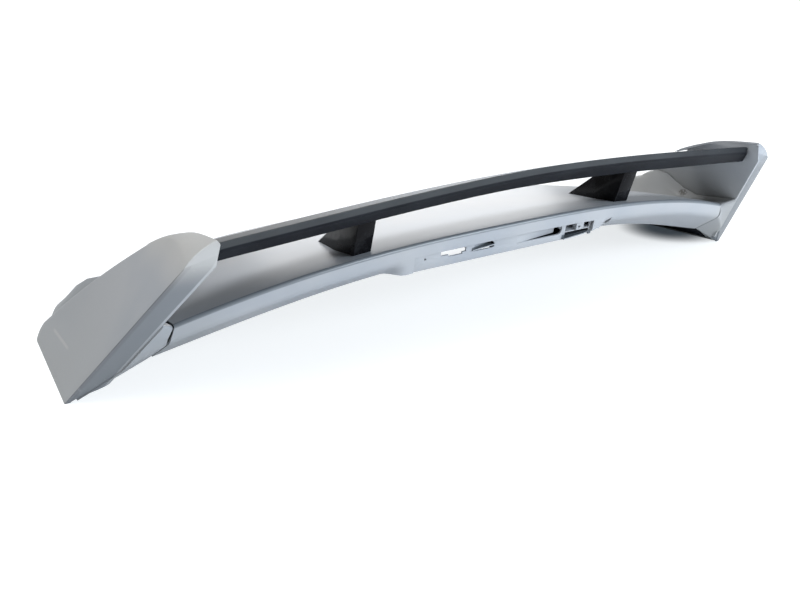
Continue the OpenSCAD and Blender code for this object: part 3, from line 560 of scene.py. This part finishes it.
# %% Node maths
class Value:
    """Wraps a socket, so that an expression on values adds its Math nodes."""
    tree = None

    def __init__(self, socket):
        self.socket = socket

    def _math(self, operation, *values):
        return Value(add(self.tree, "ShaderNodeMath", {"operation": operation}, *values).outputs[0])

    def __add__(self, other):
        return self._math("ADD", self, other)

    def __mul__(self, other):
        return self._math("MULTIPLY", self, other)

    def __sub__(self, other):
        return self._math("SUBTRACT", self, other)

    def __rsub__(self, other):
        return self._math("SUBTRACT", other, self)

    def __truediv__(self, other):
        return self._math("DIVIDE", self, other)

    def __rtruediv__(self, other):
        return self._math("DIVIDE", other, self)

    def __pow__(self, other):
        return self._math("POWER", self, other)

    def __neg__(self):
        return self._math("MULTIPLY", self, -1.0)

    def abs(self):
        return self._math("ABSOLUTE", self)

    def step(self, start, end):
        """Smoothly from 0 to 1 as the value goes from start to end."""
        settings = {"interpolation_type": "SMOOTHSTEP"}
        return Value(add(self.tree, "ShaderNodeMapRange", settings, self, start, end, 0.0, 1.0).outputs[0])

    def band(self, start, full, fall, end):
        """1 between full and fall, 0 before start and after end."""
        return self.step(start, full) * (1 - self.step(fall, end))

    __radd__ = __add__
    __rmul__ = __mul__


def put(tree, socket, value):
    if isinstance(value, Value):
        tree.links.new(value.socket, socket)
    elif isinstance(value, bpy.types.NodeSocket):
        tree.links.new(value, socket)
    elif socket.type == "RGBA" and len(value) == 3:
        socket.default_value = (*value, 1.0)
    else:
        socket.default_value = value


def add(tree, kind, settings, *values, **named):
    """Any node: its settings are set first, then its sockets by place or by name."""
    node = tree.nodes.new(kind)
    for key, value in settings.items():
        setattr(node, key, value)
    for socket, value in zip(node.inputs, values):
        put(tree, socket, value)
    for key, value in named.items():
        put(tree, node.inputs[key.replace("_", " ")], value)
    return node


def separate(tree, vector):
    """The three numbers of a vector."""
    parts = add(tree, "ShaderNodeSeparateXYZ", {}, vector)
    return [Value(parts.outputs[i]) for i in range(3)]


print("operators:", [name for name in vars(Value) if name.startswith("__r")])

# %% [markdown]
# ## The wing's upper moulding
# The wing's upper moulding is a main piece that follows a rule: every point is the trailing edge's
# arch plus a step along the chord. Geometry Nodes can say that directly, so the piece can be made
# longer, flatter or deeper by changing a named input. The tree starts from a flat grid, which stands
# for the distance across and the share of the chord, moves each point by the rule, gives the sheet a
# wall by extruding it, and passes it through a Set Material node whose material input is left empty.

# %% Wing top
WING_REAR, WING_SWEEP, SWEEP_POWER = -184, 30, 2.5
WING_TOP, WING_DROP, DROP_POWER = 260, 35, 1.76
WING_SPAN, WING_CHORD, NOSE_DROP, NOSE_BEND = 475, 128, 40, 0.1
WING = {"Half Width": 465.5, "Rear Y": WING_REAR, "Sweep": WING_SWEEP, "Height": WING_TOP,
        "Drop": WING_DROP, "Chord": WING_CHORD, "Nose Drop": NOSE_DROP, "Wall": 2.5, "Flare": 22}
WING_INPUTS = {key: value * MM for key, value in WING.items()} | {"Start": 0.058}
GRID_ACROSS, GRID_ALONG = 161, 13


def wing_tree():
    tree = bpy.data.node_groups.new("arched_wing", "GeometryNodeTree")
    face = tree.interface
    face.new_socket("Geometry", in_out="OUTPUT", socket_type="NodeSocketGeometry")
    for key, value in WING_INPUTS.items():
        face.new_socket(key, in_out="INPUT", socket_type="NodeSocketFloat").default_value = value
    face.new_socket("Material", in_out="INPUT", socket_type="NodeSocketMaterial")
    Value.tree = tree
    given = tree.nodes.new("NodeGroupInput")
    v = {key: Value(given.outputs[key]) for key in WING_INPUTS}
    grid = add(tree, "GeometryNodeMeshGrid", {}, Size_X=2.0, Size_Y=1.0, Vertices_X=GRID_ACROSS,
               Vertices_Y=GRID_ALONG)
    across, along, _ = separate(tree, add(tree, "GeometryNodeInputPosition", {}).outputs[0])
    t = v["Start"] + (along + 0.5) * (1.0 - v["Start"])
    x = across * (v["Half Width"] + v["Flare"] * t)
    s = x.abs() / (WING_SPAN * MM)
    y = v["Rear Y"] + v["Sweep"] * s ** SWEEP_POWER + v["Chord"] * t
    nose = t * (1 - NOSE_BEND) + t * t * NOSE_BEND
    z = v["Height"] - v["Drop"] * s ** DROP_POWER - v["Nose Drop"] * nose
    moved = add(tree, "ShaderNodeCombineXYZ", {}, x, y + FRAME_Y * MM, z)
    bent = add(tree, "GeometryNodeSetPosition", {}, grid.outputs[0], Position=moved.outputs[0])
    back = add(tree, "GeometryNodeFlipFaces", {}, bent.outputs[0])
    down = add(tree, "ShaderNodeCombineXYZ", {}, 0.0, 0.0, -v["Wall"])
    low = add(tree, "GeometryNodeExtrudeMesh", {"mode": "FACES"}, back.outputs[0], Offset=down.outputs[0],
              Offset_Scale=1.0, Individual=False)
    joined = add(tree, "GeometryNodeJoinGeometry", {})
    tree.links.new(low.outputs[0], joined.inputs[0])
    tree.links.new(bent.outputs[0], joined.inputs[0])
    merged = add(tree, "GeometryNodeMergeByDistance", {}, joined.outputs[0], Distance=WELD)
    real = add(tree, "GeometryNodeRealizeInstances", {}, merged.outputs[0])
    coat = add(tree, "GeometryNodeSetMaterial", {}, real.outputs[0], Material=given.outputs["Material"])
    out = tree.nodes.new("NodeGroupOutput")
    tree.links.new(coat.outputs[0], out.inputs[0])
    return tree


def grown(name, tree, values):
    """A plain mesh from a Geometry Nodes tree, with its named inputs set first."""
    obj = new_object(name, bpy.data.meshes.new(name))
    mod = obj.modifiers.new("grow", "NODES")
    mod.node_group = tree
    for item in tree.interface.items_tree:
        if item.in_out == "INPUT" and item.name in values:
            mod[item.identifier] = values[item.name]
    close_up(applied(obj))
    return obj


stands_for(grown("wing_top", wing_tree(), WING_INPUTS), "wing_top_skin", "primer")

# %% [markdown]
# ## The wing's lower moulding
# The lower moulding is lofted like the deck: a nose, a flat underside, the lower corner, and a tall
# trailing face with a soft bevel along its upper edge. Its ends follow the plates' inner sides and
# are rounded off by rows that shrink towards the middle of the profile. The bevel's columns get a
# weight of 1, so that the black can paint a highlight along the bevel, lighter than the face below.

# %% Wing underside
UNDER_HALF, UNDER_WALL, UNDER_STATIONS, FLARE_POWER = 466.0, 1.6, 161, 12
CENTRE_CORNER, END_CORNER, CORNER_POWER = (48, -39), (12, -27), 1.5
NOSE_TOP, NOSE_FRONT, NOSE_LOW, FLAT_START = [-0.2, -2.8], [-1, -5.6], [-8, -8], [8, 0.5]
BEVEL_FOOT, BEVEL_LAP, BEVEL_HEIGHT = [2.0, -11.5], [7.2, -2.0], 9.0
UNDER_RADII = [0, 2, 3, 0, 3.5, 5, 2.2, 0]
WING_CREST_POWER, TOP_LEAN, WING_GAP = 5, 0.35, 1.5
END_R, HALF_HEIGHT, END_STEPS, END_CLOSED = 5.0, 30, (3.5, 2.2, 1.2, 0.5, 0.0), 0.9


def wing_edge(x):
    s = abs(x) / WING_SPAN
    return np.array([WING_REAR + WING_SWEEP * s ** SWEEP_POWER, WING_TOP - WING_DROP * s ** DROP_POWER])


def wing_end_x(y, z):
    """How far out the wing's end reaches at a height and depth: it follows the plate's inner side."""
    top = SHOULDER[1]
    v = min(z / top, 1)
    tail_y = -SHOULDER[0] * v
    u = min(max((y - tail_y) / (lead_y_at(min(z, CREASE)) - tail_y), 0), 1)
    bulge = LEAN * CREST * v ** WING_CREST_POWER * crest(u)
    return on_plate(y, min(z, top))[0] - plate_t(u, v) - bulge - TOP_LEAN * max(0, z - top) - WING_GAP


def wing_under_row(share, shrink=0.0):
    """share: place between the centre line and the end, from -1 to 1."""
    x = share * UNDER_HALF
    edge = wing_edge(x)
    k = (abs(x) / WING_SPAN) ** CORNER_POWER
    low = edge + [mix(a, b, k) for a, b in zip(CENTRE_CORNER, END_CORNER)]
    nose = edge + [WING_CHORD, -NOSE_DROP]
    middle = mix(low + FLAT_START, nose + NOSE_LOW, 0.5)
    points = [nose + NOSE_TOP, nose + NOSE_FRONT, nose + NOSE_LOW, middle, low,
              edge + BEVEL_FOOT, edge, edge + BEVEL_LAP]
    points = rounded(points, UNDER_RADII)
    points = points + (points.mean(axis=0) - points) * shrink
    flare = abs(share) ** FLARE_POWER
    return np.array([[mix(x, np.sign(share) * wing_end_x(y, z), flare), y, z] for y, z in points])


ends = [(d, (END_R - math.sqrt(END_R ** 2 - (END_R - d) ** 2)) / HALF_HEIGHT) for d in END_STEPS]
ends.append((0.0, END_CLOSED))
rows = [wing_under_row(-1 + d / UNDER_HALF, k) for d, k in reversed(ends)]
rows += [wing_under_row(share) for share in np.linspace(-1, 1, UNDER_STATIONS)[1:-1]]
rows += [wing_under_row(1 - d / UNDER_HALF, k) for d, k in ends]
heights = wing_under_row(0)[:, 2] - wing_edge(0)[-1]
lowest = int(np.argmin(heights))
# The bevel's columns, which get a painted highlight.
bevel_highlight_mark = [float(i > lowest and h > -BEVEL_HEIGHT) for i, h in enumerate(heights)]
under = shell("wing_under", np.array(rows), UNDER_WALL, mark=bevel_highlight_mark)
stands_for(under, "wing_under_skin", "grained_black")
print("bevel columns", int(sum(bevel_highlight_mark)), "of", len(bevel_highlight_mark))

# %% [markdown]
# ## Softening a CAD piece
# Some pieces have the right form in the CAD model, but with sharp edges. A copy of such a mesh is
# merged first, because a CAD mesh is loose triangles, and flat triangles are joined into larger
# faces. A Bevel modifier then rounds the edges as the mould does.

# %% Softened pieces
FLAT_ANGLE, BEVEL_ANGLE, SOFT_SHARP, BEVEL_STEPS = 1.5, 35, 50, 3


def softened(node, name, width):
    mesh = NODES[node].data.copy()
    mesh.name = name
    bm = bmesh.new()
    bm.from_mesh(mesh)
    bmesh.ops.remove_doubles(bm, verts=bm.verts, dist=WELD)
    bmesh.ops.dissolve_limit(bm, angle_limit=math.radians(FLAT_ANGLE), verts=bm.verts, edges=bm.edges)
    for f in bm.faces:
        f.smooth = True
    bm.to_mesh(mesh)
    bm.free()
    obj = new_object(name, mesh)
    mod = obj.modifiers.new("edge", "BEVEL")
    mod.width = width
    mod.segments = BEVEL_STEPS
    mod.limit_method = "ANGLE"
    mod.angle_limit = math.radians(BEVEL_ANGLE)
    applied(obj).set_sharp_from_angle(angle=math.radians(SOFT_SHARP))
    return obj


print("edges sharper than", BEVEL_ANGLE, "degrees are rounded in", BEVEL_STEPS, "steps")

# %% [markdown]
# ## The lamp panel
# The panel at the back of the recess has its openings in the CAD model, so a softened copy of it
# does here too. Its lower edge is moved down to where the real one lies. Two thin plates are added to
# the same mesh, which the real panel has: a shelf at the recess's open end, and a ramp that leads
# into the hand hole. Both tilt with the arch.

# %% Lamp panel
PANEL_EDGE, PANEL_RIM, PANEL_DROP = 0.0004, 0.0015, 0.0050
SHELF = [(109, -158), (150, -158), (163, -153), (168, -143), (168, -118), (109, -118)]
RAMP = [(-63, -157), (-24, -157), (-24, -126), (-63, -126)]
SHELF_HEIGHTS, RAMP_HEIGHTS = (121.0, 122.4), (145.6, 146.8)
TILT, TILT_FROM = 0.066, 109


def add_plate(mesh, outline, low, high):
    """A tilted flat plate with an outline in x and y, between two heights."""
    bm = bmesh.new()
    bm.from_mesh(mesh)
    under, over = [
        [bm.verts.new((x * MM, y * MM, (z + (x - TILT_FROM) * TILT) * MM)) for x, y in outline]
        for z in (low, high)
    ]
    bm.faces.new(under[::-1])
    bm.faces.new(over)
    for i in range(len(outline)):
        j = (i + 1) % len(outline)
        bm.faces.new([under[i], under[j], over[j], over[i]])
    bm.to_mesh(mesh)
    bm.free()


panel = softened("lamp_panel", "panel_face", PANEL_EDGE)
lowest = min(v.co.z for v in panel.data.vertices)
for v in panel.data.vertices:
    if v.co.z < lowest + PANEL_RIM:
        v.co.z -= PANEL_DROP
add_plate(panel.data, SHELF, *SHELF_HEIGHTS)
add_plate(panel.data, RAMP, *RAMP_HEIGHTS)
stands_for(panel, "lamp_panel", "primer")

# %% [markdown]
# ## Fins
# The two fins carry the wing above the deck. Their form is plain, so soft edges are all they need,
# and the light on those edges shows how glossy they are.

# %% Fins
FIN_EDGE = 0.0012

for side in ("left", "right"):
    stands_for(softened(side + "_pillar", side + "_fin", FIN_EDGE), side + "_pillar", "pillar_black")

# %% [markdown]
# ## Material helpers
# Each finish is worked out from the place on the part, in Object coordinates, so it stays put when
# the part is turned. A function starts a material with a Principled shader, and small ones add the
# nodes that every finish needs: noise, a blend of two colours and a bump.

# %% Material helpers
def material(name):
    mat = bpy.data.materials.new(name)
    mat.use_nodes = True
    tree = mat.node_tree
    tree.nodes.clear()
    Value.tree = tree
    coords = tree.nodes.new("ShaderNodeTexCoord").outputs["Object"]
    bsdf = tree.nodes.new("ShaderNodeBsdfPrincipled")
    out = tree.nodes.new("ShaderNodeOutputMaterial")
    tree.links.new(bsdf.outputs[0], out.inputs[0])
    print("material", name)
    return mat, tree, coords, bsdf


def noise(tree, coords, scale, detail=2.0, rough=0.5, stretch=None):
    if stretch:
        coords = add(tree, "ShaderNodeMapping", {}, coords, Scale=stretch).outputs[0]
    return Value(add(tree, "ShaderNodeTexNoise", {}, coords, Scale=scale, Detail=detail,
                     Roughness=rough).outputs["Fac"])


def blend(tree, factor, a, b):
    node = add(tree, "ShaderNodeMix", {"data_type": "RGBA"})
    put(tree, node.inputs["Factor"], factor)
    put(tree, node.inputs[6], a)
    put(tree, node.inputs[7], b)
    return node.outputs[2]


def bump(tree, bsdf, height, strength, distance):
    node = add(tree, "ShaderNodeBump", {}, Strength=strength, Distance=distance, Height=height)
    tree.links.new(node.outputs[0], bsdf.inputs["Normal"])


def column_mark(tree):
    """The weight that shell() gave to the columns of a piece."""
    return Value(add(tree, "ShaderNodeAttribute", {"attribute_name": "mark"}).outputs["Fac"])


# %% [markdown]
# ## Primer
# Primer is a thin satin paint. Its colour drifts a little from cool to neutral in broad clouds, dust
# changes its roughness, and a very fine bump stands for the sprayed surface. Some tones go by place,
# because the photo shows them. Painted shade darkens the plates' trailing faces, the deck's rear top
# edge, the recess's shelf and ramp, the near plate towards the floor and the wing's top towards its
# left end, and painted light brightens the near plate's top. The crease beside the trailing faces and
# a small patchy spot on the far plate are darker, and the far end is warmer. Each place is a mask from
# 0 to 1, made from steps on the coordinates, and a list lays the tones over each other in order.

# %% Primer
PRIMER = (0.36, 0.375, 0.395)
PRIMER_COOL = (0.30, 0.325, 0.36)
PRIMER_WARM = (0.345, 0.345, 0.33)
# Painted shade for the near plate, darker towards the floor.
PRIMER_PAINTED_LOW_SHADE = (0.24, 0.255, 0.265)
# Painted shade for the trailing faces, the deck's rear top edge and the recess's shelf and ramp.
PRIMER_PAINTED_SHADE = (0.10, 0.115, 0.13)
CREASE_TONE = (0.12, 0.13, 0.145)
# Painted shade for the wing's top.
WING_PAINTED_SHADE = (0.07, 0.075, 0.08)
# Dust, a faint light line, and painted light on the near plate's top.
DUST_AND_PAINTED_LIGHT = (0.50, 0.49, 0.46)
DARK_SPOT = (0.09, 0.085, 0.075)
TAIL_SLOPE = 0.795
RIM_SKEW, TAIL_SKEW = (0.586, 0.5875), (0.612, 0.613)
LEFT_END = (-0.48, -0.40)
FAINT_LINE_MID, FAINT_LINE_DIR, FAINT_LINE_HALF, FAINT_LINE_WIDTH = (0.0887, 0.0354), (-0.998, 0.064), 0.0533, 0.000006
DARK_SPOT_AT, DARK_SPOT_SIZE, DARK_SPOT_X = (-0.0308, 0.1078), (0.00001, 0.00005), (0.50, 0.51, 0.543, 0.545)


def faint_line(x, y, z):
    """A faint light line low on the near plate's outer side."""
    a, b = y - FAINT_LINE_MID[0], z - FAINT_LINE_MID[1]
    along = a * FAINT_LINE_DIR[0] + b * FAINT_LINE_DIR[1]
    across = a * FAINT_LINE_DIR[1] - b * FAINT_LINE_DIR[0]
    line = 1 - (across * across).step(0.0, FAINT_LINE_WIDTH)
    ends = 1 - (along * along).step(FAINT_LINE_HALF ** 2 * 0.5, FAINT_LINE_HALF ** 2)
    return line * ends * (1 - x.step(-0.50, -0.49))


def dark_spot(tree, at, x, y, z):
    """A small patchy dark spot on the inner side of the far plate."""
    a, b = y - DARK_SPOT_AT[0], z - DARK_SPOT_AT[1]
    spot = 1 - (a * a * 0.5 + b * b).step(*DARK_SPOT_SIZE)
    return spot * noise(tree, at, 260.0, 2.0).step(0.38, 0.50) * x.band(*DARK_SPOT_X)


def tail_tones(x, y, z):
    """Painted shade on the trailing faces and a darker crease at their outer edge, both fading out upwards.
    """
    skew = z * LEAN + (y - FRAME_Y * MM) * TOE
    tail = y + z * TAIL_SLOPE - FRAME_Y * MM
    rim, outer = [(skew + x).step(*limits) + (skew - x).step(*limits) for limits in (RIM_SKEW, TAIL_SKEW)]
    low = 1 - z.step(0.18, 0.235)
    face = low * rim * (1 - tail.step(0.0005, 0.0025))
    crease = low * outer * tail.band(-0.0022, -0.0008, 0.0008, 0.0022)
    return face, crease


def recess_tones(x, y, z):
    """Masks of painted shade on the shelf and the ramp of the lamp recess."""
    shelf = x.band(0.108, 0.109, 0.168, 0.169) * y.band(-0.157, -0.156, -0.116, -0.114)
    ramp = x.band(-0.064, -0.063, -0.023, -0.022) * y.band(-0.157, -0.156, -0.125, -0.124)
    return shelf * (1 - z.step(0.127, 0.128)), ramp * z.band(0.1325, 0.1335, 0.138, 0.139)


def primer():
    mat, tree, at, bsdf = material("primer_paint")
    cloud = noise(tree, at, 5.0, 3.0)
    fine = noise(tree, at, 900.0, 2.0)
    dust = noise(tree, at, 60.0, 6.0, 0.7).step(0.60, 0.78)
    x, y, z = separate(tree, at)
    near_end = 1 - x.step(*LEFT_END)
    far_end = (x + y * 0.12).step(0.44, 0.56)
    wing = z.step(0.184, 0.190) * x.band(-0.462, -0.458, 0.458, 0.462)
    tail_shade, crease = tail_tones(x, y, z)
    shelf, ramp = recess_tones(x, y, z)
    base = blend(tree, cloud.step(0.35, 0.65), PRIMER_COOL, PRIMER)
    for mask, colour in [
        (far_end * 0.8, PRIMER_WARM),
        # Painted shade on the near plate, darker towards the floor.
        ((1 - z.step(0.0, 0.19)) * near_end * 0.9, PRIMER_PAINTED_LOW_SHADE),
        # Painted shade on the plates' trailing faces, stronger on the far plate.
        (tail_shade * (0.75 + x.step(0.40, 0.50) * 0.2), PRIMER_PAINTED_SHADE),
        (crease, CREASE_TONE),
        (faint_line(x, y, z) * 0.3, DUST_AND_PAINTED_LIGHT),
        # A thin line of painted shade along the deck's rear top edge.
        (column_mark(tree) * 0.8, PRIMER_PAINTED_SHADE),
        (dark_spot(tree, at, x, y, z) * 0.8, DARK_SPOT),
        # Painted shade on the recess's shelf and ramp.
        (shelf, PRIMER_PAINTED_SHADE),
        (ramp, PRIMER_PAINTED_SHADE),
        # Painted light on the near plate's top.
        (z.step(0.17, 0.22) * near_end * 0.5, DUST_AND_PAINTED_LIGHT),
        # Painted shade on the wing's top, deepest at its left end.
        (wing * (1 - x.step(-0.40, -0.05) * 0.93) * 0.95, WING_PAINTED_SHADE),
        (dust * 0.25, DUST_AND_PAINTED_LIGHT),
    ]:
        base = blend(tree, mask, base, colour)
    put(tree, bsdf.inputs["Base Color"], base)
    put(tree, bsdf.inputs["Roughness"], 0.36 + (cloud - 0.5) * 0.10 + dust * 0.12 + wing * 0.35)
    bsdf.inputs["Specular IOR Level"].default_value = 0.5
    bsdf.inputs["Coat Weight"].default_value = 0.12
    bsdf.inputs["Coat Roughness"].default_value = 0.25
    bump(tree, bsdf, fine * 0.6 + noise(tree, at, 180.0, 2.0) * 0.4, 0.12, 0.0004)
    return mat


# %% [markdown]
# ## Grained black
# The wing's lower moulding is grained black plastic. The grain is a fine cell pattern with soft
# edges. The bevel that shell() marked gets a painted highlight, weaker towards the right end, and a
# few specks of dust lie on it all.

# %% Grained black
BLACK = (0.005, 0.006, 0.009)
BLACK_WORN = (0.011, 0.013, 0.017)
# Painted highlight for the wing's bevel.
BLACK_BEVEL_HIGHLIGHT = (0.052, 0.056, 0.060)
SPECK = (0.42, 0.42, 0.40)


def grained():
    mat, tree, at, bsdf = material("grained_plastic")
    cloud = noise(tree, at, 14.0, 4.0)
    cells = Value(add(tree, "ShaderNodeTexVoronoi", {"feature": "SMOOTH_F1"}, at, Scale=700.0).outputs[0])
    speck = noise(tree, at, 420.0, 1.0).step(0.80, 0.84)
    fade = 1 - separate(tree, at)[0].step(0.15, 0.50) * 0.75
    base = blend(tree, cloud.step(0.35, 0.7), BLACK, BLACK_WORN)
    # Painted highlight along the marked bevel, weaker towards the right end.
    base = blend(tree, column_mark(tree) * fade * (0.6 + cloud * 0.7), base, BLACK_BEVEL_HIGHLIGHT)
    base = blend(tree, speck * 0.6, base, SPECK)
    put(tree, bsdf.inputs["Base Color"], base)
    put(tree, bsdf.inputs["Roughness"], 0.52 + (cloud - 0.5) * 0.12)
    bsdf.inputs["Specular IOR Level"].default_value = 0.08
    bump(tree, bsdf, cells, 0.35, 0.0003)
    return mat


# %% [markdown]
# ## Polished black
# The fins are polished, so what shows on them is mostly smudges: broad patches where the gloss is
# duller, and thin streaks left by a cloth.

# %% Polished black
POLISH_DEEP = (0.004, 0.004, 0.005)
POLISH_DULL = (0.020, 0.021, 0.023)


def polished():
    mat, tree, at, bsdf = material("polished_plastic")
    smudge = noise(tree, at, 34.0, 4.0, 0.6).step(0.45, 0.70)
    streak = noise(tree, at, 60.0, 3.0, 0.6, stretch=(6.0, 1.0, 1.0)).step(0.55, 0.75)
    put(tree, bsdf.inputs["Base Color"], blend(tree, smudge * 0.7, POLISH_DEEP, POLISH_DULL))
    put(tree, bsdf.inputs["Roughness"], 0.12 + smudge * 0.20 + streak * 0.10)
    bsdf.inputs["Specular IOR Level"].default_value = 0.09
    bump(tree, bsdf, smudge * 0.4 + noise(tree, at, 8.0) * 0.6, 0.05, 0.0008)
    return mat


# %% [markdown]
# ## Rubber and metals
# The gaskets and rings are soft closed cell rubber, which is dull and slightly porous. The inserts
# are turned brass and the screws zinc plated steel. Both metals share one function: a noise that is
# stretched round the axis stands for the marks of turning.

# %% Rubber and metals
RUBBER_DEEP = (0.012, 0.012, 0.013)
RUBBER_DULL = (0.028, 0.028, 0.029)
BRASS = (0.78, 0.60, 0.30)
BRASS_DARK = (0.58, 0.42, 0.20)
ZINC = (0.66, 0.67, 0.66)
ZINC_DARK = (0.48, 0.49, 0.50)


def soft_rubber():
    mat, tree, at, bsdf = material("soft_rubber")
    pores = noise(tree, at, 520.0, 3.0, 0.7)
    put(tree, bsdf.inputs["Base Color"], blend(tree, pores.step(0.4, 0.7), RUBBER_DEEP, RUBBER_DULL))
    put(tree, bsdf.inputs["Roughness"], 0.78 + pores * 0.12)
    bump(tree, bsdf, pores, 0.3, 0.0004)
    return mat


def metal(name, light, dark, rough):
    mat, tree, at, bsdf = material(name)
    turned = noise(tree, at, 300.0, 3.0, 0.6, stretch=(1.0, 1.0, 8.0))
    put(tree, bsdf.inputs["Base Color"], blend(tree, turned.step(0.35, 0.7), dark, light))
    put(tree, bsdf.inputs["Roughness"], rough + (turned - 0.5) * 0.15)
    bsdf.inputs["Metallic"].default_value = 1.0
    bump(tree, bsdf, turned, 0.15, 0.0003)
    return mat


# %% [markdown]
# ## Dressing the part
# The record names a finish for every node of the CAD model. The pieces made above get theirs from
# the list that stands_for() kept, and the CAD nodes that stay get theirs from the record.

# %% Dressing
FINISH = {
    "primer": primer(),
    "grained_black": grained(),
    "pillar_black": polished(),
    "seal_rubber": soft_rubber(),
    "brass": metal("turned_brass", BRASS, BRASS_DARK, 0.32),
    "zinc_steel": metal("zinc_steel", ZINC, ZINC_DARK, 0.36),
}
SLOT_OF = {s["node"]: s["material_slot"] for s in frame["record"]["subparts"]}

for obj, slot in DRESSED:
    obj.data.materials.clear()
    obj.data.materials.append(FINISH[slot])
    for face in obj.data.polygons:
        face.material_index = 0
for name, obj in NODES.items():
    if obj.type != "MESH":
        continue
    if len(obj.material_slots) == 0:
        obj.data.materials.append(FINISH[SLOT_OF[name]])
    for s in obj.material_slots:
        s.material = FINISH[SLOT_OF[name]]
print("finished", len(DRESSED), "pieces and", len(NODES), "CAD nodes")

# %% [markdown]
# ## The floor
# The part stands on a plain pale floor that runs into white. Rays that light the part meet a plain
# diffuse floor. The camera sees another one: mostly a weak glow of its own, so that the floor is
# nearly white while the shadow still shows as a weaker part. Under the far plate's tip the glow
# gives way to the plain floor, because the shadow is deep there, and far away it grows to full white.

# %% Floor
FLOOR_SIZE = 30.0
FLOOR_LIT = (0.90, 0.91, 0.93)
FLOOR_OPEN, FLOOR_PATCH = (0.40, 0.40, 0.40), (0.78, 0.79, 0.80)
GLOW_OPEN, GLOW_PATCH, GLOW_AWAY = (0.76, 0.784, 0.80), (0.03, 0.04, 0.05), (1.0, 1.0, 1.0)
PATCH_AT, PATCH_SIZE, AWAY_SIZE = (0.61, 0.07), (0.001, 0.0125), (0.9, 2.5)


def floor():
    bpy.ops.mesh.primitive_plane_add(size=FLOOR_SIZE, location=(0, 0, 0))
    obj = bpy.context.object
    obj.name = "floor"
    mat = bpy.data.materials.new("floor_white")
    mat.use_nodes = True
    tree = mat.node_tree
    tree.nodes.clear()
    Value.tree = tree
    x, y, _ = separate(tree, tree.nodes.new("ShaderNodeTexCoord").outputs["Object"])
    dx, dy = x - PATCH_AT[0], y - PATCH_AT[1]
    clear = (dx * dx + dy * dy).step(*PATCH_SIZE)
    away = (x * x + y * y).step(*AWAY_SIZE)
    glow_colour = blend(tree, clear, GLOW_PATCH, blend(tree, away, GLOW_OPEN, GLOW_AWAY))
    lit = add(tree, "ShaderNodeBsdfDiffuse", {}, FLOOR_LIT)
    pale = add(tree, "ShaderNodeBsdfDiffuse", {}, blend(tree, clear, FLOOR_PATCH, FLOOR_OPEN))
    glow = add(tree, "ShaderNodeEmission", {}, glow_colour, 1.0)
    shown = add(tree, "ShaderNodeAddShader", {}, pale.outputs[0], glow.outputs[0])
    seen = tree.nodes.new("ShaderNodeLightPath").outputs["Is Camera Ray"]
    both = add(tree, "ShaderNodeMixShader", {}, seen, lit.outputs[0], shown.outputs[0])
    out = tree.nodes.new("ShaderNodeOutputMaterial")
    tree.links.new(both.outputs[0], out.inputs[0])
    obj.data.materials.append(mat)


floor()
print("floor", FLOOR_SIZE, "m wide")

# %% [markdown]
# ## The light
# A large soft lamp above lights the tops, and one at the side lights the near plate. A cool one
# behind the part, to the camera's right, lights the rear faces. A weak one stands low opposite the
# camera and gives the flat surfaces a light sheen. The world fills the rest: it is white to the
# camera and a weak grey to the part.

# %% Lamps and world
AMBIENT = 0.25
LAMPS = {
    "top": ((0.2, 0.2, 2.3), (0.0, 0.0, 0.1), (1.6, 1.2), 28, (1.0, 1.0, 1.0)),
    "side": ((-1.6, -0.4, 1.9), (-0.3, 0.0, 0.1), (1.0, 1.2), 25, (1.0, 0.995, 0.98)),
    "rear": ((1.35, -2.5, 1.2), (0.0, 0.0, 0.1), (2.0, 1.0), 104, (0.84, 0.92, 1.0)),
    "backdrop": ((1.43, 2.48, 0.5), (0.05, 0.0, 0.15), (1.6, 1.0), 13, (1.0, 1.0, 1.0)),
}

for name, (place, aim, size, power, colour) in LAMPS.items():
    data = bpy.data.lights.new(name, "AREA")
    data.shape = "RECTANGLE"
    data.size, data.size_y = size
    data.energy = power
    data.color = colour
    lamp = new_object(name, data)
    lamp.location = place
    lamp.rotation_euler = (Vector(aim) - Vector(place)).to_track_quat("-Z", "Y").to_euler()
    lamp.visible_camera = False

world = bpy.data.worlds.new("studio")
bpy.context.scene.world = world
world.use_nodes = True
tree = world.node_tree
tree.nodes.clear()
Value.tree = tree
seen = Value(tree.nodes.new("ShaderNodeLightPath").outputs["Is Camera Ray"])
back = add(tree, "ShaderNodeBackground", {}, (1, 1, 1), AMBIENT + seen * (1 - AMBIENT))
out = tree.nodes.new("ShaderNodeOutputWorld")
tree.links.new(back.outputs[0], out.inputs[0])
print("lamps:", list(LAMPS))

# %% [markdown]
# ## The camera
# The camera's place and angle were worked out from edges of the part in the photo, with the part's
# width as the scale. It stands behind the part, to its left, and looks down a little.

# %% Camera
CAMERA_AT = (-0.8966, -1.2200, 0.5728)
CAMERA_TILT, CAMERA_TURN = 69.161, -33.712
LENS, SENSOR = 45.0, 36.0
cam_data = bpy.data.cameras.new("camera")
cam_data.lens = LENS
cam_data.sensor_width = SENSOR
cam = new_object("camera", cam_data)
cam.location = CAMERA_AT
cam.rotation_euler = (math.radians(CAMERA_TILT), 0, math.radians(CAMERA_TURN))
bpy.context.scene.camera = cam
bpy.context.scene.view_settings.view_transform = "Standard"
print("camera at", CAMERA_AT, "with a lens of", LENS, "mm")

# %% [markdown]
# ## The size of the part
# The dressed part must not be larger than the CAD model.
